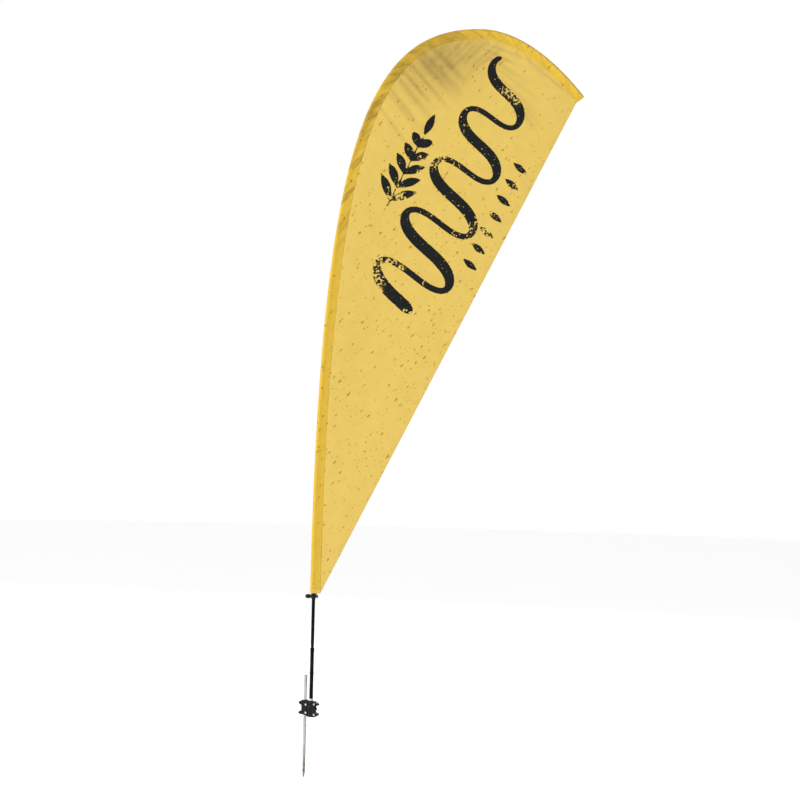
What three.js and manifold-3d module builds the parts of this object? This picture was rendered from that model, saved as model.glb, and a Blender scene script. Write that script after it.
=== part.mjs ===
// Teardrop flag on a ground stake, as one THREE.Group of named meshes.
// Millimetres, +Z up. The flag lies in the XZ plane and its front faces -Y.
// The origin is on the pole's axis, level with the bracket's underside, which is the ground line.

import * as THREE from 'three';
import { mergeVertices } from 'three/addons/utils/BufferGeometryUtils.js';
import Module from 'manifold-3d';

const wasm = await Module();
wasm.setup();

// ---- Driving dimensions -------------------------------------------------------------------

const gap = 0.3;                    // between pieces that touch
const runningGap = 0.4;             // between the spindle and what turns on it

// Stake
const stakeDiameter = 10;
const stakeNeckDiameter = 8;
const stakeHeadDiameter = 11.4;
const stakeHeadHeight = 5;
const stakeTop = 127.5;             // above the ground line
const stakeDepth = 191.5;           // below the ground line
const stakeShoulderDepth = 118;
const stakePointLength = 16;

// Bracket: a body that holds the stake, and a cap bolted to its front
const bracketHeight = 50;
const bracketTurn = -34;            // degrees about the pole's axis
const plateThickness = 7;
const barrelWall = 1.7;             // around the spindle's collar
const barrelGrooveHeight = 5;
const barrelGrooveDepth = 2;
const stakeOffset = 27;             // from the spindle's axis, along the bracket
const stakeSetback = 7;             // behind the face where the bracket splits
const stakeBossWall = 5;
const bossFoot = 5;                 // the stake's boss starts this far above the ground line
const earLength = 14;               // of the pointed ears, along the bracket
const earTipHalf = 2.5;
const earRise = 31;                 // between the points of the upper and the lower ears
const earPoint = 10.5;              // from a right bolt, or from the stake's boss, to an ear's point
const capEarPoint = 7.6;            // from a left bolt to the cap's left edge
const lipReach = 2;                 // of the lip between two ears, beyond the bolts
const lipHalf = 2;
const leftBoltRise = 25;
const rightBoltRise = 32;
const boltToBarrel = 1.8;           // between a left bolt's head and the barrel
const rightBoltSetOut = 3.4;        // further from the barrel than the left bolts
const boltDiameter = 4;
const boltHeadDiameter = 7.6;
const boltHeadHeight = 3;
const boltSocketDepth = 1.5;
const nutAcrossFlats = 7;
const nutHeight = 3.2;

// Spindle, washer and swivel socket
const spindleFoot = 6;              // above the ground line
const spindleCollarRim = 2.5;
const spindleCollarFoot = 12.5;
const spindleCollarHeight = 5;
const washerHeight = 6;
const socketWall = 1.4;
const socketLength = 157;
const socketStopHeight = 78;        // centre of the crimp, above the socket's foot
const stopHalf = 1.5;               // half the length that the crimp narrows
const endPlay = 5;                  // from the stop to the spindle and to the spigot
const beadHeight = 9;
const beadProud = 0.6;
const crimpDepth = 0.9;

// Pole: four sections, each plugged into the bore of the one below
const poleDiameters = [10.4, 8.2, 6.2, 4.2];
const poleNames = ['base_pole', 'mid_pole', 'upper_pole', 'tip_rod'];
const ferruleNames = ['ferrule_lower', 'ferrule_middle', 'ferrule_upper'];
const ferruleWall = 0.5;
const pitch = 40;                   // length of one straight facet of a bent pole
const sectionPitches = 16;
const plugPitches = 2;
const spigotLength = 150;
const bendStart = 430;              // height where the pole starts to bend
const tipCapWall = 1.8;
const tipCapGrip = 20;

// Flag
const flagFoot = 383.5;             // height of the sleeve's mouth
const flagHeight = 1753;            // from the mouth up to the sleeve's crown
const crownReach = 479;             // from the pole's axis out to the crown
const tipReach = 316;               // from the crown on to the tip
const tipDrop = 200;
const tipAngle = 142;               // degrees between straight up and the sleeve at its tip
const riseHandle = 0.8;             // lengths of the leading edge's handles, as shares of the
const crownHandle = 0.73;           // height, of the crown's reach, of the tip's reach and of
const fallHandle = 0.475;           // the tip's drop
const tipHandle = 0.25;
const sleeveSlack = 3.6;            // how far the sleeve hangs out from the pole at its mouth
const sleeveEase = 0.5;             // between the lower ferrule and the sleeve
const sleeveWall = 1;
const sleeveChannel = 19;           // depth of the channel, behind the sleeve's centreline
const sleeveSeam = 24;              // from the sleeve's centreline to the seam
const sleeveFacets = 56;
const bindingHeight = 14;
const bindingThickness = 0.8;
const tipPocketLength = 12;
const clothThickness = 0.7;
const hemWidth = 12;

// Tension collar, its thumb screw, and the elastic loop that holds the flag down
const collarHeight = 18;
const collarWall = 2;
const collarFootWall = 0.7;
const collarTaper = 8;
const bossDiameter = 9;
const bossProud = 3.1;
const insertDiameter = 6;
const screwDiameter = 4;
const padThickness = 1.4;
const padDiameter = 3.6;
const knobDiameter = 13.6;
const knobLength = 15;
const knobFlutes = 6;
const screwGrip = 9;                // length of the screw inside its knob
const pegDiameter = 5.6;
const pegLength = 4.5;
const pegLipDiameter = 10;
const pegLipThickness = 1.6;
const elasticDiameter = 2.6;
const loopRise = 14;                // of the loop's ends, inside the sleeve's mouth
const tabHeight = 9;

// ---- Sizes that follow from them ----------------------------------------------------------

const poleBores = poleDiameters.slice(1).map((plug) => plug + 2 * gap);
const socketBore = poleBores[0];
const socketDiameter = socketBore + 2 * socketWall;
const spindleDiameter = socketBore - 2 * runningGap;
const spindleCollarRadius = spindleDiameter / 2 + spindleCollarRim;
const barrelRadius = spindleCollarRadius + gap + barrelWall;
const washerFoot = bracketHeight + gap;
const socketFoot = washerFoot + washerHeight + gap;
const socketMouth = socketFoot + socketLength;
const socketStop = socketFoot + socketStopHeight;
const spindleTop = socketStop - stopHalf - endPlay;
const spigotFoot = socketStop + stopHalf + endPlay;
const poleFoot = socketMouth + gap;
const leftBoltReach = barrelRadius + boltToBarrel + boltHeadDiameter / 2;
const rightBoltReach = leftBoltReach + rightBoltSetOut;
const boltClearance = boltDiameter / 2 + gap;
const nutCorner = nutAcrossFlats / Math.sqrt(3);
const collarTop = flagFoot - 2 * gap;
const screwHeight = collarTop - collarHeight / 2;
const poleRadius = poleDiameters[0] / 2;
const sleeveBore = poleRadius + gap + ferruleWall + sleeveEase;   // half the channel's width
const collarRadius = poleRadius + gap + collarWall;
const bossReach = collarRadius + bossProud;
const pegReach = collarRadius + pegLength;
const loopReach = collarRadius + pegLength / 2;

// ---- Finishes -----------------------------------------------------------------------------

function finish(color, roughness, metalness = 0) {
  return new THREE.MeshStandardMaterial({ color, roughness, metalness });
}

const finishes = {
  sleeveCloth: finish(0xe9c149, 0.85),
  panelCloth: finish(0xedcb67, 0.85),
  linerCloth: finish(0xb9b7b0, 0.9),
  poleBlack: finish(0x101112, 0.35),
  castBlack: finish(0x191a1d, 0.5),
  steel: finish(0xb9b8b3, 0.3, 1),
  zinc: finish(0xd4d4d0, 0.3, 1),
  brass: finish(0xb08d4a, 0.35, 1),
  nylon: finish(0xd9dadb, 0.5),
  rubber: finish(0x1a1a1a, 0.85),
  elastic: finish(0x161616, 0.9),
};

// ---- Shapes -------------------------------------------------------------------------------

function toSolid(geometry) {
  const bare = geometry.clone();
  bare.deleteAttribute('normal');
  bare.deleteAttribute('uv');
  const merged = mergeVertices(bare, 1e-4);
  const vertProperties = new Float32Array(merged.attributes.position.array);
  const triVerts = new Uint32Array(merged.index.array);
  return new wasm.Manifold(new wasm.Mesh({ numProp: 3, vertProperties, triVerts }));
}

function toGeometry(solid) {
  const { vertProperties, triVerts } = solid.getMesh();
  const geometry = new THREE.BufferGeometry();
  geometry.setAttribute('position', new THREE.BufferAttribute(vertProperties, 3));
  geometry.setIndex(new THREE.BufferAttribute(triVerts, 1));
  return geometry;
}

function joined(...geometries) {
  return geometries.map(toSolid).reduce((whole, piece) => whole.add(piece));
}

// A body turned about Z from [radius, height] points, listed upwards along its outside.
function turned(profile, sides = 24) {
  const points = profile.map(([radius, height]) => new THREE.Vector2(radius, height));
  return new THREE.LatheGeometry(points, sides).rotateX(Math.PI / 2);
}

function tube(innerRadius, outerRadius, foot, top, sides = 24) {
  return turned([
    [innerRadius, foot], [outerRadius, foot], [outerRadius, top], [innerRadius, top],
    [innerRadius, foot],
  ], sides);
}

function rod(radius, foot, top, sides = 24) {
  return turned([[0, foot], [radius, foot], [radius, top], [0, top]], sides);
}

// A plate in the XZ plane, from its front face to its back face along Y.
function plate(shape, front, back, curveSegments = 12) {
  const settings = { depth: back - front, bevelEnabled: false, curveSegments };
  return new THREE.ExtrudeGeometry(shape, settings).rotateX(Math.PI / 2).translate(0, back, 0);
}

function polygon(points) {
  return new THREE.Shape(points.map(([x, z]) => new THREE.Vector2(x, z)));
}

// Turns a body built about Z so that it lies along X, with its top towards -X.
function towardsKnob(geometry) {
  return geometry.rotateY(-Math.PI / 2).translate(0, 0, screwHeight);
}

function part(name, geometry, material) {
  const mesh = new THREE.Mesh(geometry, material);
  mesh.name = name;
  return mesh;
}

// ---- Lines that the pole and the sleeve follow ---------------------------------------------

// The stretch of a longer line between two distances along it.
class Stretch extends THREE.Curve {
  constructor(line, from, to) {
    super();
    this.line = line;
    this.from = from;
    this.to = to;
  }

  getPoint(t, target = new THREE.Vector3()) {
    const distance = this.from + (this.to - this.from) * t;
    return target.copy(this.line.getPoint(distance / this.line.getLength()));
  }
}

const crown = new THREE.Vector3(crownReach, 0, flagFoot + flagHeight);
const tip = new THREE.Vector3(crownReach + tipReach, 0, crown.z - tipDrop);
const tipTurn = THREE.MathUtils.degToRad(tipAngle);
const tipDirection = new THREE.Vector3(Math.sin(tipTurn), 0, Math.cos(tipTurn));

// A curve that rises straight up from its foot, runs level over the crown and falls to the tip.
function leadingCurves(foot) {
  const riseEnd = new THREE.Vector3(foot.x, 0, flagFoot + riseHandle * flagHeight);
  const beforeCrown = crown.clone().setX(crown.x - crownHandle * crownReach);
  const afterCrown = crown.clone().setX(crown.x + fallHandle * tipReach);
  const beforeTip = tip.clone().addScaledVector(tipDirection, -tipHandle * tipDrop);
  return [
    new THREE.CubicBezierCurve3(foot, riseEnd, beforeCrown, crown),
    new THREE.CubicBezierCurve3(crown, afterCrown, beforeTip, tip),
  ];
}

const sleeveLine = new THREE.CurvePath();
sleeveLine.curves = leadingCurves(new THREE.Vector3(-sleeveSlack, 0, flagFoot));
const sleeveLength = sleeveLine.getLength();

const bendPoint = new THREE.Vector3(0, 0, bendStart);
const poleLine = new THREE.CurvePath();
poleLine.curves = [
  new THREE.LineCurve3(new THREE.Vector3(0, 0, poleFoot), bendPoint),
  ...leadingCurves(bendPoint),
];
const poleLength = poleLine.getLength();

// Sweeps a section along a stretch: the section's x points to the front, its y into the flag.
function swept(shape, line, from, to, steps, curveSegments = 8) {
  const extrudePath = new Stretch(line, from, to);
  return new THREE.ExtrudeGeometry(shape, { steps, extrudePath, curveSegments });
}

function roundSection(radius, boreRadius = 0) {
  const section = new THREE.Shape().absarc(0, 0, radius, 0, 2 * Math.PI);
  if (boreRadius > 0) {
    section.holes.push(new THREE.Path().absarc(0, 0, boreRadius, 0, 2 * Math.PI));
  }
  return section;
}

// ---- Stake and bracket ---------------------------------------------------------------------

function stakeRod() {
  const radius = stakeDiameter / 2;
  const neckRadius = stakeNeckDiameter / 2;
  const headRadius = stakeHeadDiameter / 2;
  return turned([
    [0, -stakeDepth],
    [neckRadius, -stakeDepth + stakePointLength],
    [neckRadius, -stakeShoulderDepth - stakeDiameter],
    [radius, -stakeShoulderDepth],
    [radius, stakeTop - stakeHeadHeight],
    [headRadius, stakeTop - stakeHeadHeight + headRadius - radius],
    [headRadius, stakeTop - headRadius + radius],
    [radius, stakeTop],
    [0, stakeTop],
  ], 20);
}

// One side of a plate's outline, listed upwards: two pointed ears with a lip between them.
function earSide(ear, waist, lip, footLift = 0) {
  const half = bracketHeight / 2;
  const tipMiddle = earRise / 2;
  const below = [
    [ear - earLength, -half], [ear, -tipMiddle - earTipHalf], [ear, earTipHalf - tipMiddle],
    [waist, -earRise / 4], [lip, -lipHalf],
  ];
  const above = below.map(([x, z]) => [x, -z]).reverse();
  below[0][1] += footLift;
  return [...below, ...above].map(([x, z]) => [x, z + half]);
}

function plateOutline(leftSide, rightSide) {
  return polygon([...rightSide, ...leftSide.map(([x, z]) => [-x, z]).reverse()]);
}

const stakeBossRadius = stakeDiameter / 2 + stakeBossWall;
const rightSide = earSide(rightBoltReach + earPoint, rightBoltReach - lipReach,
  rightBoltReach + lipReach);

function boltPlaces() {
  const middle = bracketHeight / 2;
  return [
    [-leftBoltReach, middle + leftBoltRise / 2], [rightBoltReach, middle + rightBoltRise / 2],
    [-leftBoltReach, middle - leftBoltRise / 2], [rightBoltReach, middle - rightBoltRise / 2],
  ];
}

const cutReach = 4 * plateThickness;     // runs a cut well past both faces

// Everything that is cut out of both halves of the bracket around the spindle and the bolts.
function bracketBores() {
  const bores = [
    rod(spindleDiameter / 2 + gap, spindleFoot - gap, bracketHeight + 1),
    spindleCollar(gap),
  ];
  for (const [x, z] of boltPlaces()) {
    bores.push(rod(boltClearance, -cutReach, cutReach, 12).rotateX(Math.PI / 2)
      .translate(x, 0, z));
  }
  return joined(...bores);
}

// Room behind the plate for each nut, where the stake's boss would be in its way.
function nutPockets() {
  const radius = nutCorner + gap;
  return joined(...boltPlaces().map(([x, z]) =>
    rod(radius, -cutReach, -plateThickness, 16).rotateX(Math.PI / 2).translate(x, 0, z)));
}

function barrelGroove() {
  const middle = bracketHeight / 2;
  const inner = barrelRadius - barrelGrooveDepth;
  const half = barrelGrooveHeight / 2;
  return toSolid(tube(inner, barrelRadius + 1, middle - half, middle + half));
}

function halfSpace(front, back) {
  const reach = 4 * stakeOffset;     // wider than the bracket, as the height is taller
  return toSolid(new THREE.BoxGeometry(reach, back - front, 3 * bracketHeight)
    .translate(0, (front + back) / 2, bracketHeight / 2));
}

function bracketBody() {
  const waist = stakeOffset + stakeBossRadius;
  const outline = plateOutline(earSide(waist + earPoint, waist, waist, bossFoot), rightSide);
  const boss = rod(stakeBossRadius, bossFoot, bracketHeight, 28)
    .translate(-stakeOffset, stakeSetback, 0);
  const barrel = toSolid(rod(barrelRadius, 0, bracketHeight)).subtract(barrelGroove());
  const stakeBore = rod(stakeDiameter / 2 + gap, -1, bracketHeight + 1, 20)
    .translate(-stakeOffset, stakeSetback, 0);
  return toGeometry(joined(plate(outline, gap / 2, plateThickness), boss).add(barrel)
    .intersect(halfSpace(gap / 2, cutReach))
    .subtract(bracketBores()).subtract(toSolid(stakeBore)).subtract(nutPockets()));
}

function bracketCap() {
  const waist = leftBoltReach + lipReach;
  const outline = plateOutline(earSide(leftBoltReach + capEarPoint, waist, waist), rightSide);
  const barrel = toSolid(rod(barrelRadius, 0, bracketHeight)).subtract(barrelGroove());
  return toGeometry(toSolid(plate(outline, -plateThickness, -gap / 2)).add(barrel)
    .intersect(halfSpace(-cutReach, -gap / 2))
    .subtract(bracketBores()));
}

function bolt(x, z) {
  const radius = boltDiameter / 2;
  const headRadius = boltHeadDiameter / 2;
  const head = plateThickness + gap;
  const end = -(plateThickness + nutHeight + 2 * gap);
  const socketRadius = boltDiameter * 0.35;
  return turned([
    [0, end], [radius, end], [radius, head], [headRadius, head],
    [headRadius, head + boltHeadHeight * 0.6], [headRadius * 0.75, head + boltHeadHeight],
    [socketRadius, head + boltHeadHeight], [socketRadius, head + boltHeadHeight - boltSocketDepth],
    [0, head + boltHeadHeight - boltSocketDepth],
  ], 12).rotateX(Math.PI / 2).translate(x, 0, z);
}

function nut(x, z) {
  const hexagon = new THREE.Shape();
  for (let side = 0; side < 6; side += 1) {
    const angle = side * Math.PI / 3;
    const place = [nutCorner * Math.cos(angle), nutCorner * Math.sin(angle)];
    hexagon[side === 0 ? 'moveTo' : 'lineTo'](...place);
  }
  hexagon.holes.push(new THREE.Path().absarc(0, 0, boltClearance, 0, 2 * Math.PI));
  const front = plateThickness + gap;
  return plate(hexagon, front, front + nutHeight, 6).translate(x, 0, z);
}

function bracketGroup() {
  const group = new THREE.Group();
  group.rotation.z = THREE.MathUtils.degToRad(bracketTurn);
  const stake = part('stake_rod', stakeRod(), finishes.steel);
  stake.position.set(-stakeOffset, stakeSetback, 0);
  group.add(stake);
  group.add(part('bracket_body', bracketBody(), finishes.castBlack));
  group.add(part('bracket_cap', bracketCap(), finishes.castBlack));
  boltPlaces().forEach(([x, z], index) => {
    group.add(part(`bracket_bolt_${index + 1}`, bolt(x, z), finishes.zinc));
    group.add(part(`bracket_nut_${index + 1}`, nut(x, z), finishes.zinc));
  });
  return group;
}

// ---- Spindle, washer and swivel socket -------------------------------------------------------

// The collar that the bracket's halves close on, grown by a margin to cut its pocket.
function spindleCollar(margin) {
  const foot = spindleCollarFoot;
  return rod(spindleCollarRadius + margin, foot - margin, foot + spindleCollarHeight + margin);
}

function spindle() {
  const radius = spindleDiameter / 2;
  const chamfer = radius / 3;
  const pin = turned([
    [0, spindleFoot], [radius, spindleFoot], [radius, spindleTop - chamfer],
    [radius - chamfer, spindleTop], [0, spindleTop],
  ]);
  return toGeometry(joined(pin, spindleCollar(0)));
}

function thrustWasher() {
  return tube(spindleDiameter / 2 + runningGap, socketDiameter / 2, washerFoot,
    washerFoot + washerHeight);
}

// Beads stand proud at the mouth and where the wall is crimped in as a stop.
function swivelSocket() {
  const outer = socketDiameter / 2;
  const proud = outer + beadProud;
  const bore = socketBore / 2;
  const crimped = bore - crimpDepth;
  const rise = beadHeight / 2;
  const rim = socketMouth - beadHeight;
  return turned([
    [bore, socketFoot], [outer, socketFoot], [outer, socketStop - rise],
    [proud, socketStop - rise / 2], [proud, socketStop + rise / 2], [outer, socketStop + rise],
    [outer, rim - rise / 2], [proud, rim], [proud, socketMouth], [bore, socketMouth],
    [bore, socketStop + stopHalf], [crimped, socketStop + stopHalf / 2],
    [crimped, socketStop - stopHalf / 2], [bore, socketStop - stopHalf], [bore, socketFoot],
  ]);
}

function baseGroup() {
  const group = new THREE.Group();
  group.add(part('spindle', spindle(), finishes.steel));
  group.add(part('thrust_washer', thrustWasher(), finishes.nylon));
  group.add(part('swivel_socket', swivelSocket(), finishes.poleBlack));
  return group;
}

// ---- Pole ------------------------------------------------------------------------------------

const tipEnd = Math.floor((poleLength - tipPocketLength - tipCapGrip) / pitch) * pitch;

// Distances along the pole's line where a section starts and ends, on whole facets.
function sectionReach(index) {
  const from = index * (sectionPitches - plugPitches) * pitch;
  const last = index === poleDiameters.length - 1;
  return [from, last ? tipEnd : from + sectionPitches * pitch];
}

function poleSection(index) {
  const [from, to] = sectionReach(index);
  const bore = index < poleBores.length ? poleBores[index] / 2 : 0;
  const section = roundSection(poleDiameters[index] / 2, bore);
  return swept(section, poleLine, from, to, Math.round((to - from) / pitch), 4);
}

// A band over the last facet of a section's upper end, where the next one plugs in.
function ferrule(index) {
  const mouth = sectionReach(index)[1];
  const inner = poleDiameters[index] / 2 + gap;
  return swept(roundSection(inner + ferruleWall, inner), poleLine, mouth - pitch, mouth, 1, 4);
}

function tipCap() {
  const boreRadius = poleDiameters.at(-1) / 2 + 2 * gap;
  const outer = swept(roundSection(boreRadius + tipCapWall), poleLine, tipEnd - tipCapGrip,
    poleLength - tipPocketLength - 2 * gap, 2, 6);
  const bore = swept(roundSection(boreRadius), poleLine, tipEnd - pitch, tipEnd + gap, 2, 4);
  return toGeometry(toSolid(outer).subtract(toSolid(bore)));
}

function poleGroup() {
  const group = new THREE.Group();
  poleNames.forEach((name, index) => {
    group.add(part(name, poleSection(index), finishes.poleBlack));
  });
  ferruleNames.forEach((name, index) => {
    group.add(part(name, ferrule(index), finishes.steel));
  });
  const spigot = rod(poleBores[0] / 2 - gap, spigotFoot, spigotFoot + spigotLength, 8);
  group.add(part('socket_spigot', spigot, finishes.poleBlack));
  group.add(part('tip_cap', tipCap(), finishes.rubber));
  return group;
}

// ---- Flag ------------------------------------------------------------------------------------

const channelHalf = sleeveChannel / 8;     // half the channel's width at its inner end
const seamHalf = 1.5 * clothThickness + 2 * gap;

// The sleeve's section: a round nose in front of the pole, closing in to the seam.
function sleeveOutline() {
  const nose = sleeveBore + sleeveWall;
  const outline = new THREE.Shape().absarc(0, 0, nose, Math.PI, 2 * Math.PI);
  outline.lineTo(nose, sleeveBore);
  outline.lineTo(channelHalf + sleeveWall, sleeveChannel);
  outline.lineTo(seamHalf, sleeveSeam);
  outline.lineTo(-seamHalf, sleeveSeam);
  outline.lineTo(-channelHalf - sleeveWall, sleeveChannel);
  outline.lineTo(-nose, sleeveBore);
  return outline;
}

function sleeveSection() {
  const section = sleeveOutline();
  const channel = new THREE.Path().absarc(0, 0, sleeveBore, Math.PI, 2 * Math.PI);
  channel.lineTo(sleeveBore, sleeveBore);
  channel.lineTo(channelHalf, sleeveChannel);
  channel.lineTo(-channelHalf, sleeveChannel);
  channel.lineTo(-sleeveBore, sleeveBore);
  section.holes.push(channel);
  return section;
}

// A strip folded round the sleeve, open at the seam.
function bindingSection() {
  const inner = sleeveBore + sleeveWall + gap;
  const outer = inner + bindingThickness;
  const end = channelHalf + sleeveWall + gap;
  const section = new THREE.Shape().absarc(0, 0, outer, Math.PI, 2 * Math.PI);
  section.lineTo(outer, sleeveBore);
  section.lineTo(end + bindingThickness, sleeveChannel);
  section.lineTo(end, sleeveChannel);
  section.lineTo(inner, sleeveBore);
  section.absarc(0, 0, inner, 2 * Math.PI, Math.PI, true);
  section.lineTo(-inner, sleeveBore);
  section.lineTo(-end, sleeveChannel);
  section.lineTo(-end - bindingThickness, sleeveChannel);
  section.lineTo(-outer, sleeveBore);
  return section;
}

const sleeveEnd = sleeveLength - tipPocketLength - gap;

function poleSleeve() {
  return swept(sleeveSection(), sleeveLine, 0, sleeveEnd, sleeveFacets, 3);
}

function tipPocket() {
  return swept(sleeveOutline(), sleeveLine, sleeveLength - tipPocketLength, sleeveLength, 1, 3);
}

function mouthBinding() {
  return swept(bindingSection(), sleeveLine, 0, bindingHeight, 1, 3);
}

// Points on the seam, a little inside the sleeve's inner edge, from its mouth to its tip.
function seamPoints() {
  const stretch = new Stretch(sleeveLine, 0, sleeveEnd);
  const points = [];
  const addPoint = (place, tangent) => {
    const inset = sleeveSeam + gap;
    points.push([place.x + tangent.z * inset, place.z - tangent.x * inset]);
  };
  for (let step = 0; step <= sleeveFacets; step += 1) {
    const share = step / sleeveFacets;
    addPoint(stretch.getPointAt(share), stretch.getTangentAt(share));
  }
  addPoint(tip, tipDirection);
  return points;
}

// The part of a convex outline on the left of a line, looking from its foot to its top.
function clipped(points, foot, top, keepLeft) {
  const side = ([x, z]) => {
    const left = (top[0] - foot[0]) * (z - foot[1]) - (top[1] - foot[1]) * (x - foot[0]);
    return keepLeft ? left : -left;
  };
  const kept = [];
  points.forEach((point, index) => {
    const next = points[(index + 1) % points.length];
    const here = side(point);
    const there = side(next);
    if (here >= 0) {
      kept.push(point);
    }
    if (here * there < 0) {
      const share = here / (here - there);
      kept.push([0, 1].map((axis) => point[axis] + share * (next[axis] - point[axis])));
    }
  });
  return kept;
}

// The flag's face is bounded by the seam and by the straight trailing edge, which is hemmed.
const face = seamPoints();
const trailingFoot = face[0];
const trailingTop = face.at(-1);
const trailingRun = Math.hypot(trailingTop[0] - trailingFoot[0], trailingTop[1] - trailingFoot[1]);

// A point of the trailing edge moved into the flag.
function inset([x, z], distance) {
  const across = [
    -(trailingTop[1] - trailingFoot[1]) / trailingRun,
    (trailingTop[0] - trailingFoot[0]) / trailingRun,
  ];
  return [x + across[0] * distance, z + across[1] * distance];
}

// One layer of cloth: level 0 is the liner in the middle, -1 the front and 1 the back.
function clothLayer(level) {
  const edge = hemWidth + gap;
  const outline = clipped(face, inset(trailingFoot, edge), inset(trailingTop, edge), true);
  const middle = level * (clothThickness + gap);
  return plate(polygon(outline), middle - clothThickness / 2, middle + clothThickness / 2);
}

function trailingHem() {
  const outline = clipped(face, inset(trailingFoot, hemWidth), inset(trailingTop, hemWidth), false);
  return plate(polygon(outline), -seamHalf, seamHalf);
}

function flagGroup() {
  const group = new THREE.Group();
  group.add(part('pole_sleeve', poleSleeve(), finishes.sleeveCloth));
  group.add(part('tip_pocket', tipPocket(), finishes.sleeveCloth));
  group.add(part('mouth_binding', mouthBinding(), finishes.sleeveCloth));
  group.add(part('front_graphic', clothLayer(-1), finishes.panelCloth));
  group.add(part('blockout_liner', clothLayer(0), finishes.linerCloth));
  group.add(part('back_graphic', clothLayer(1), finishes.panelCloth));
  group.add(part('trailing_hem', trailingHem(), finishes.panelCloth));
  return group;
}

// ---- Tension collar, thumb screw and elastic loop ----------------------------------------------

const padFace = poleRadius + gap;
const screwTip = padFace + padThickness + gap;
const knobFoot = bossReach + gap;

function tensionCollar() {
  const bore = poleRadius + gap;
  const foot = collarTop - collarHeight;
  const body = turned([
    [0, foot], [bore + collarFootWall, foot], [collarRadius, foot + collarTaper],
    [collarRadius, collarTop], [0, collarTop],
  ]);
  const boss = towardsKnob(rod(bossDiameter / 2, poleRadius, bossReach));
  const peg = rod(pegDiameter / 2, poleRadius, pegReach + pegLipThickness);
  const lip = rod(pegLipDiameter / 2, pegReach, pegReach + pegLipThickness);
  const hook = joined(peg, lip).rotate([0, 90, 0]).translate([0, 0, screwHeight]);
  const poleBore = rod(bore, foot - 1, collarTop + 1);
  const padBore = towardsKnob(rod(padDiameter / 2 + gap, 0, bossReach, 12));
  const insertSeat = towardsKnob(rod(insertDiameter / 2 + gap, screwTip - gap, bossReach + 1, 16));
  return toGeometry(joined(body, boss).add(hook)
    .subtract(joined(poleBore, padBore, insertSeat)));
}

function thumbScrewKnob() {
  const radius = knobDiameter / 2;
  const end = knobFoot + knobLength;
  const body = turned([
    [0, knobFoot], [radius * 0.75, knobFoot], [radius, knobFoot + knobLength * 0.25],
    [radius, end - knobLength * 0.35], [radius * 0.8, end - knobLength * 0.1],
    [radius * 0.45, end], [0, end],
  ]);
  let knob = toSolid(body);
  const fluteRadius = radius * 0.3;
  for (let flute = 0; flute < knobFlutes; flute += 1) {
    const angle = (flute + 0.5) * 2 * Math.PI / knobFlutes;
    const place = radius + fluteRadius * 0.45;
    knob = knob.subtract(toSolid(rod(fluteRadius, knobFoot - 1, end + 1, 12)
      .translate(place * Math.cos(angle), place * Math.sin(angle), 0)));
  }
  const shankHole = rod(screwDiameter / 2 + gap, knobFoot - 1, knobFoot + screwGrip + gap, 12);
  return towardsKnob(toGeometry(knob.subtract(toSolid(shankHole))));
}

// The elastic runs down from inside the sleeve, under the collar's peg and back up.
function tensionLoop() {
  const bend = pegDiameter / 2 + gap + elasticDiameter / 2;
  const together = elasticDiameter / 2 + gap;
  const top = flagFoot + loopRise;
  const leg = [
    [together, top], [together, flagFoot + loopRise / 2], [together, flagFoot],
    [bend, screwHeight + bend / 3],
  ];
  const turn = [0, 1, 2, 3, 4].map((step) => {
    const angle = step * Math.PI / 4;
    return [bend * Math.cos(angle), screwHeight - bend * Math.sin(angle)];
  });
  const backLeg = leg.map(([y, z]) => [-y, z]).reverse();
  const route = [...leg, ...turn, ...backLeg];
  const extrudePath = new THREE.CatmullRomCurve3(
    route.map(([y, z]) => new THREE.Vector3(loopReach, y, z)), false, 'centripetal');
  const section = roundSection(elasticDiameter / 2);
  return new THREE.ExtrudeGeometry(section, { steps: 30, extrudePath, curveSegments: 4 });
}

function loopTab() {
  const foot = flagFoot + loopRise + gap;
  const half = elasticDiameter;
  return new THREE.BoxGeometry(2 * half, 2 * half, tabHeight)
    .translate(loopReach, 0, foot + tabHeight / 2);
}

function collarGroup() {
  const group = new THREE.Group();
  const insert = towardsKnob(tube(screwDiameter / 2 + gap, insertDiameter / 2,
    screwTip, bossReach, 16));
  const shank = towardsKnob(rod(screwDiameter / 2, screwTip, knobFoot + screwGrip, 12));
  const pad = towardsKnob(rod(padDiameter / 2, padFace, padFace + padThickness, 12));
  group.add(part('tension_collar', tensionCollar(), finishes.castBlack));
  group.add(part('threaded_insert', insert, finishes.brass));
  group.add(part('screw_pad', pad, finishes.nylon));
  group.add(part('thumb_screw_shank', shank, finishes.zinc));
  group.add(part('thumb_screw_knob', thumbScrewKnob(), finishes.castBlack));
  group.add(part('tension_loop', tensionLoop(), finishes.elastic));
  group.add(part('loop_tab', loopTab(), finishes.sleeveCloth));
  return group;
}

const teardropFlag = new THREE.Group();
teardropFlag.add(bracketGroup(), baseGroup(), poleGroup(), flagGroup(), collarGroup());

export default teardropFlag;
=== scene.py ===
"""Teardrop flag on a ground stake: its finished surfaces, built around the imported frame."""
import math

import bmesh
import bpy
import numpy as np
from bpy.props import FloatProperty, FloatVectorProperty, PointerProperty
from mathutils import Matrix, Vector


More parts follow.
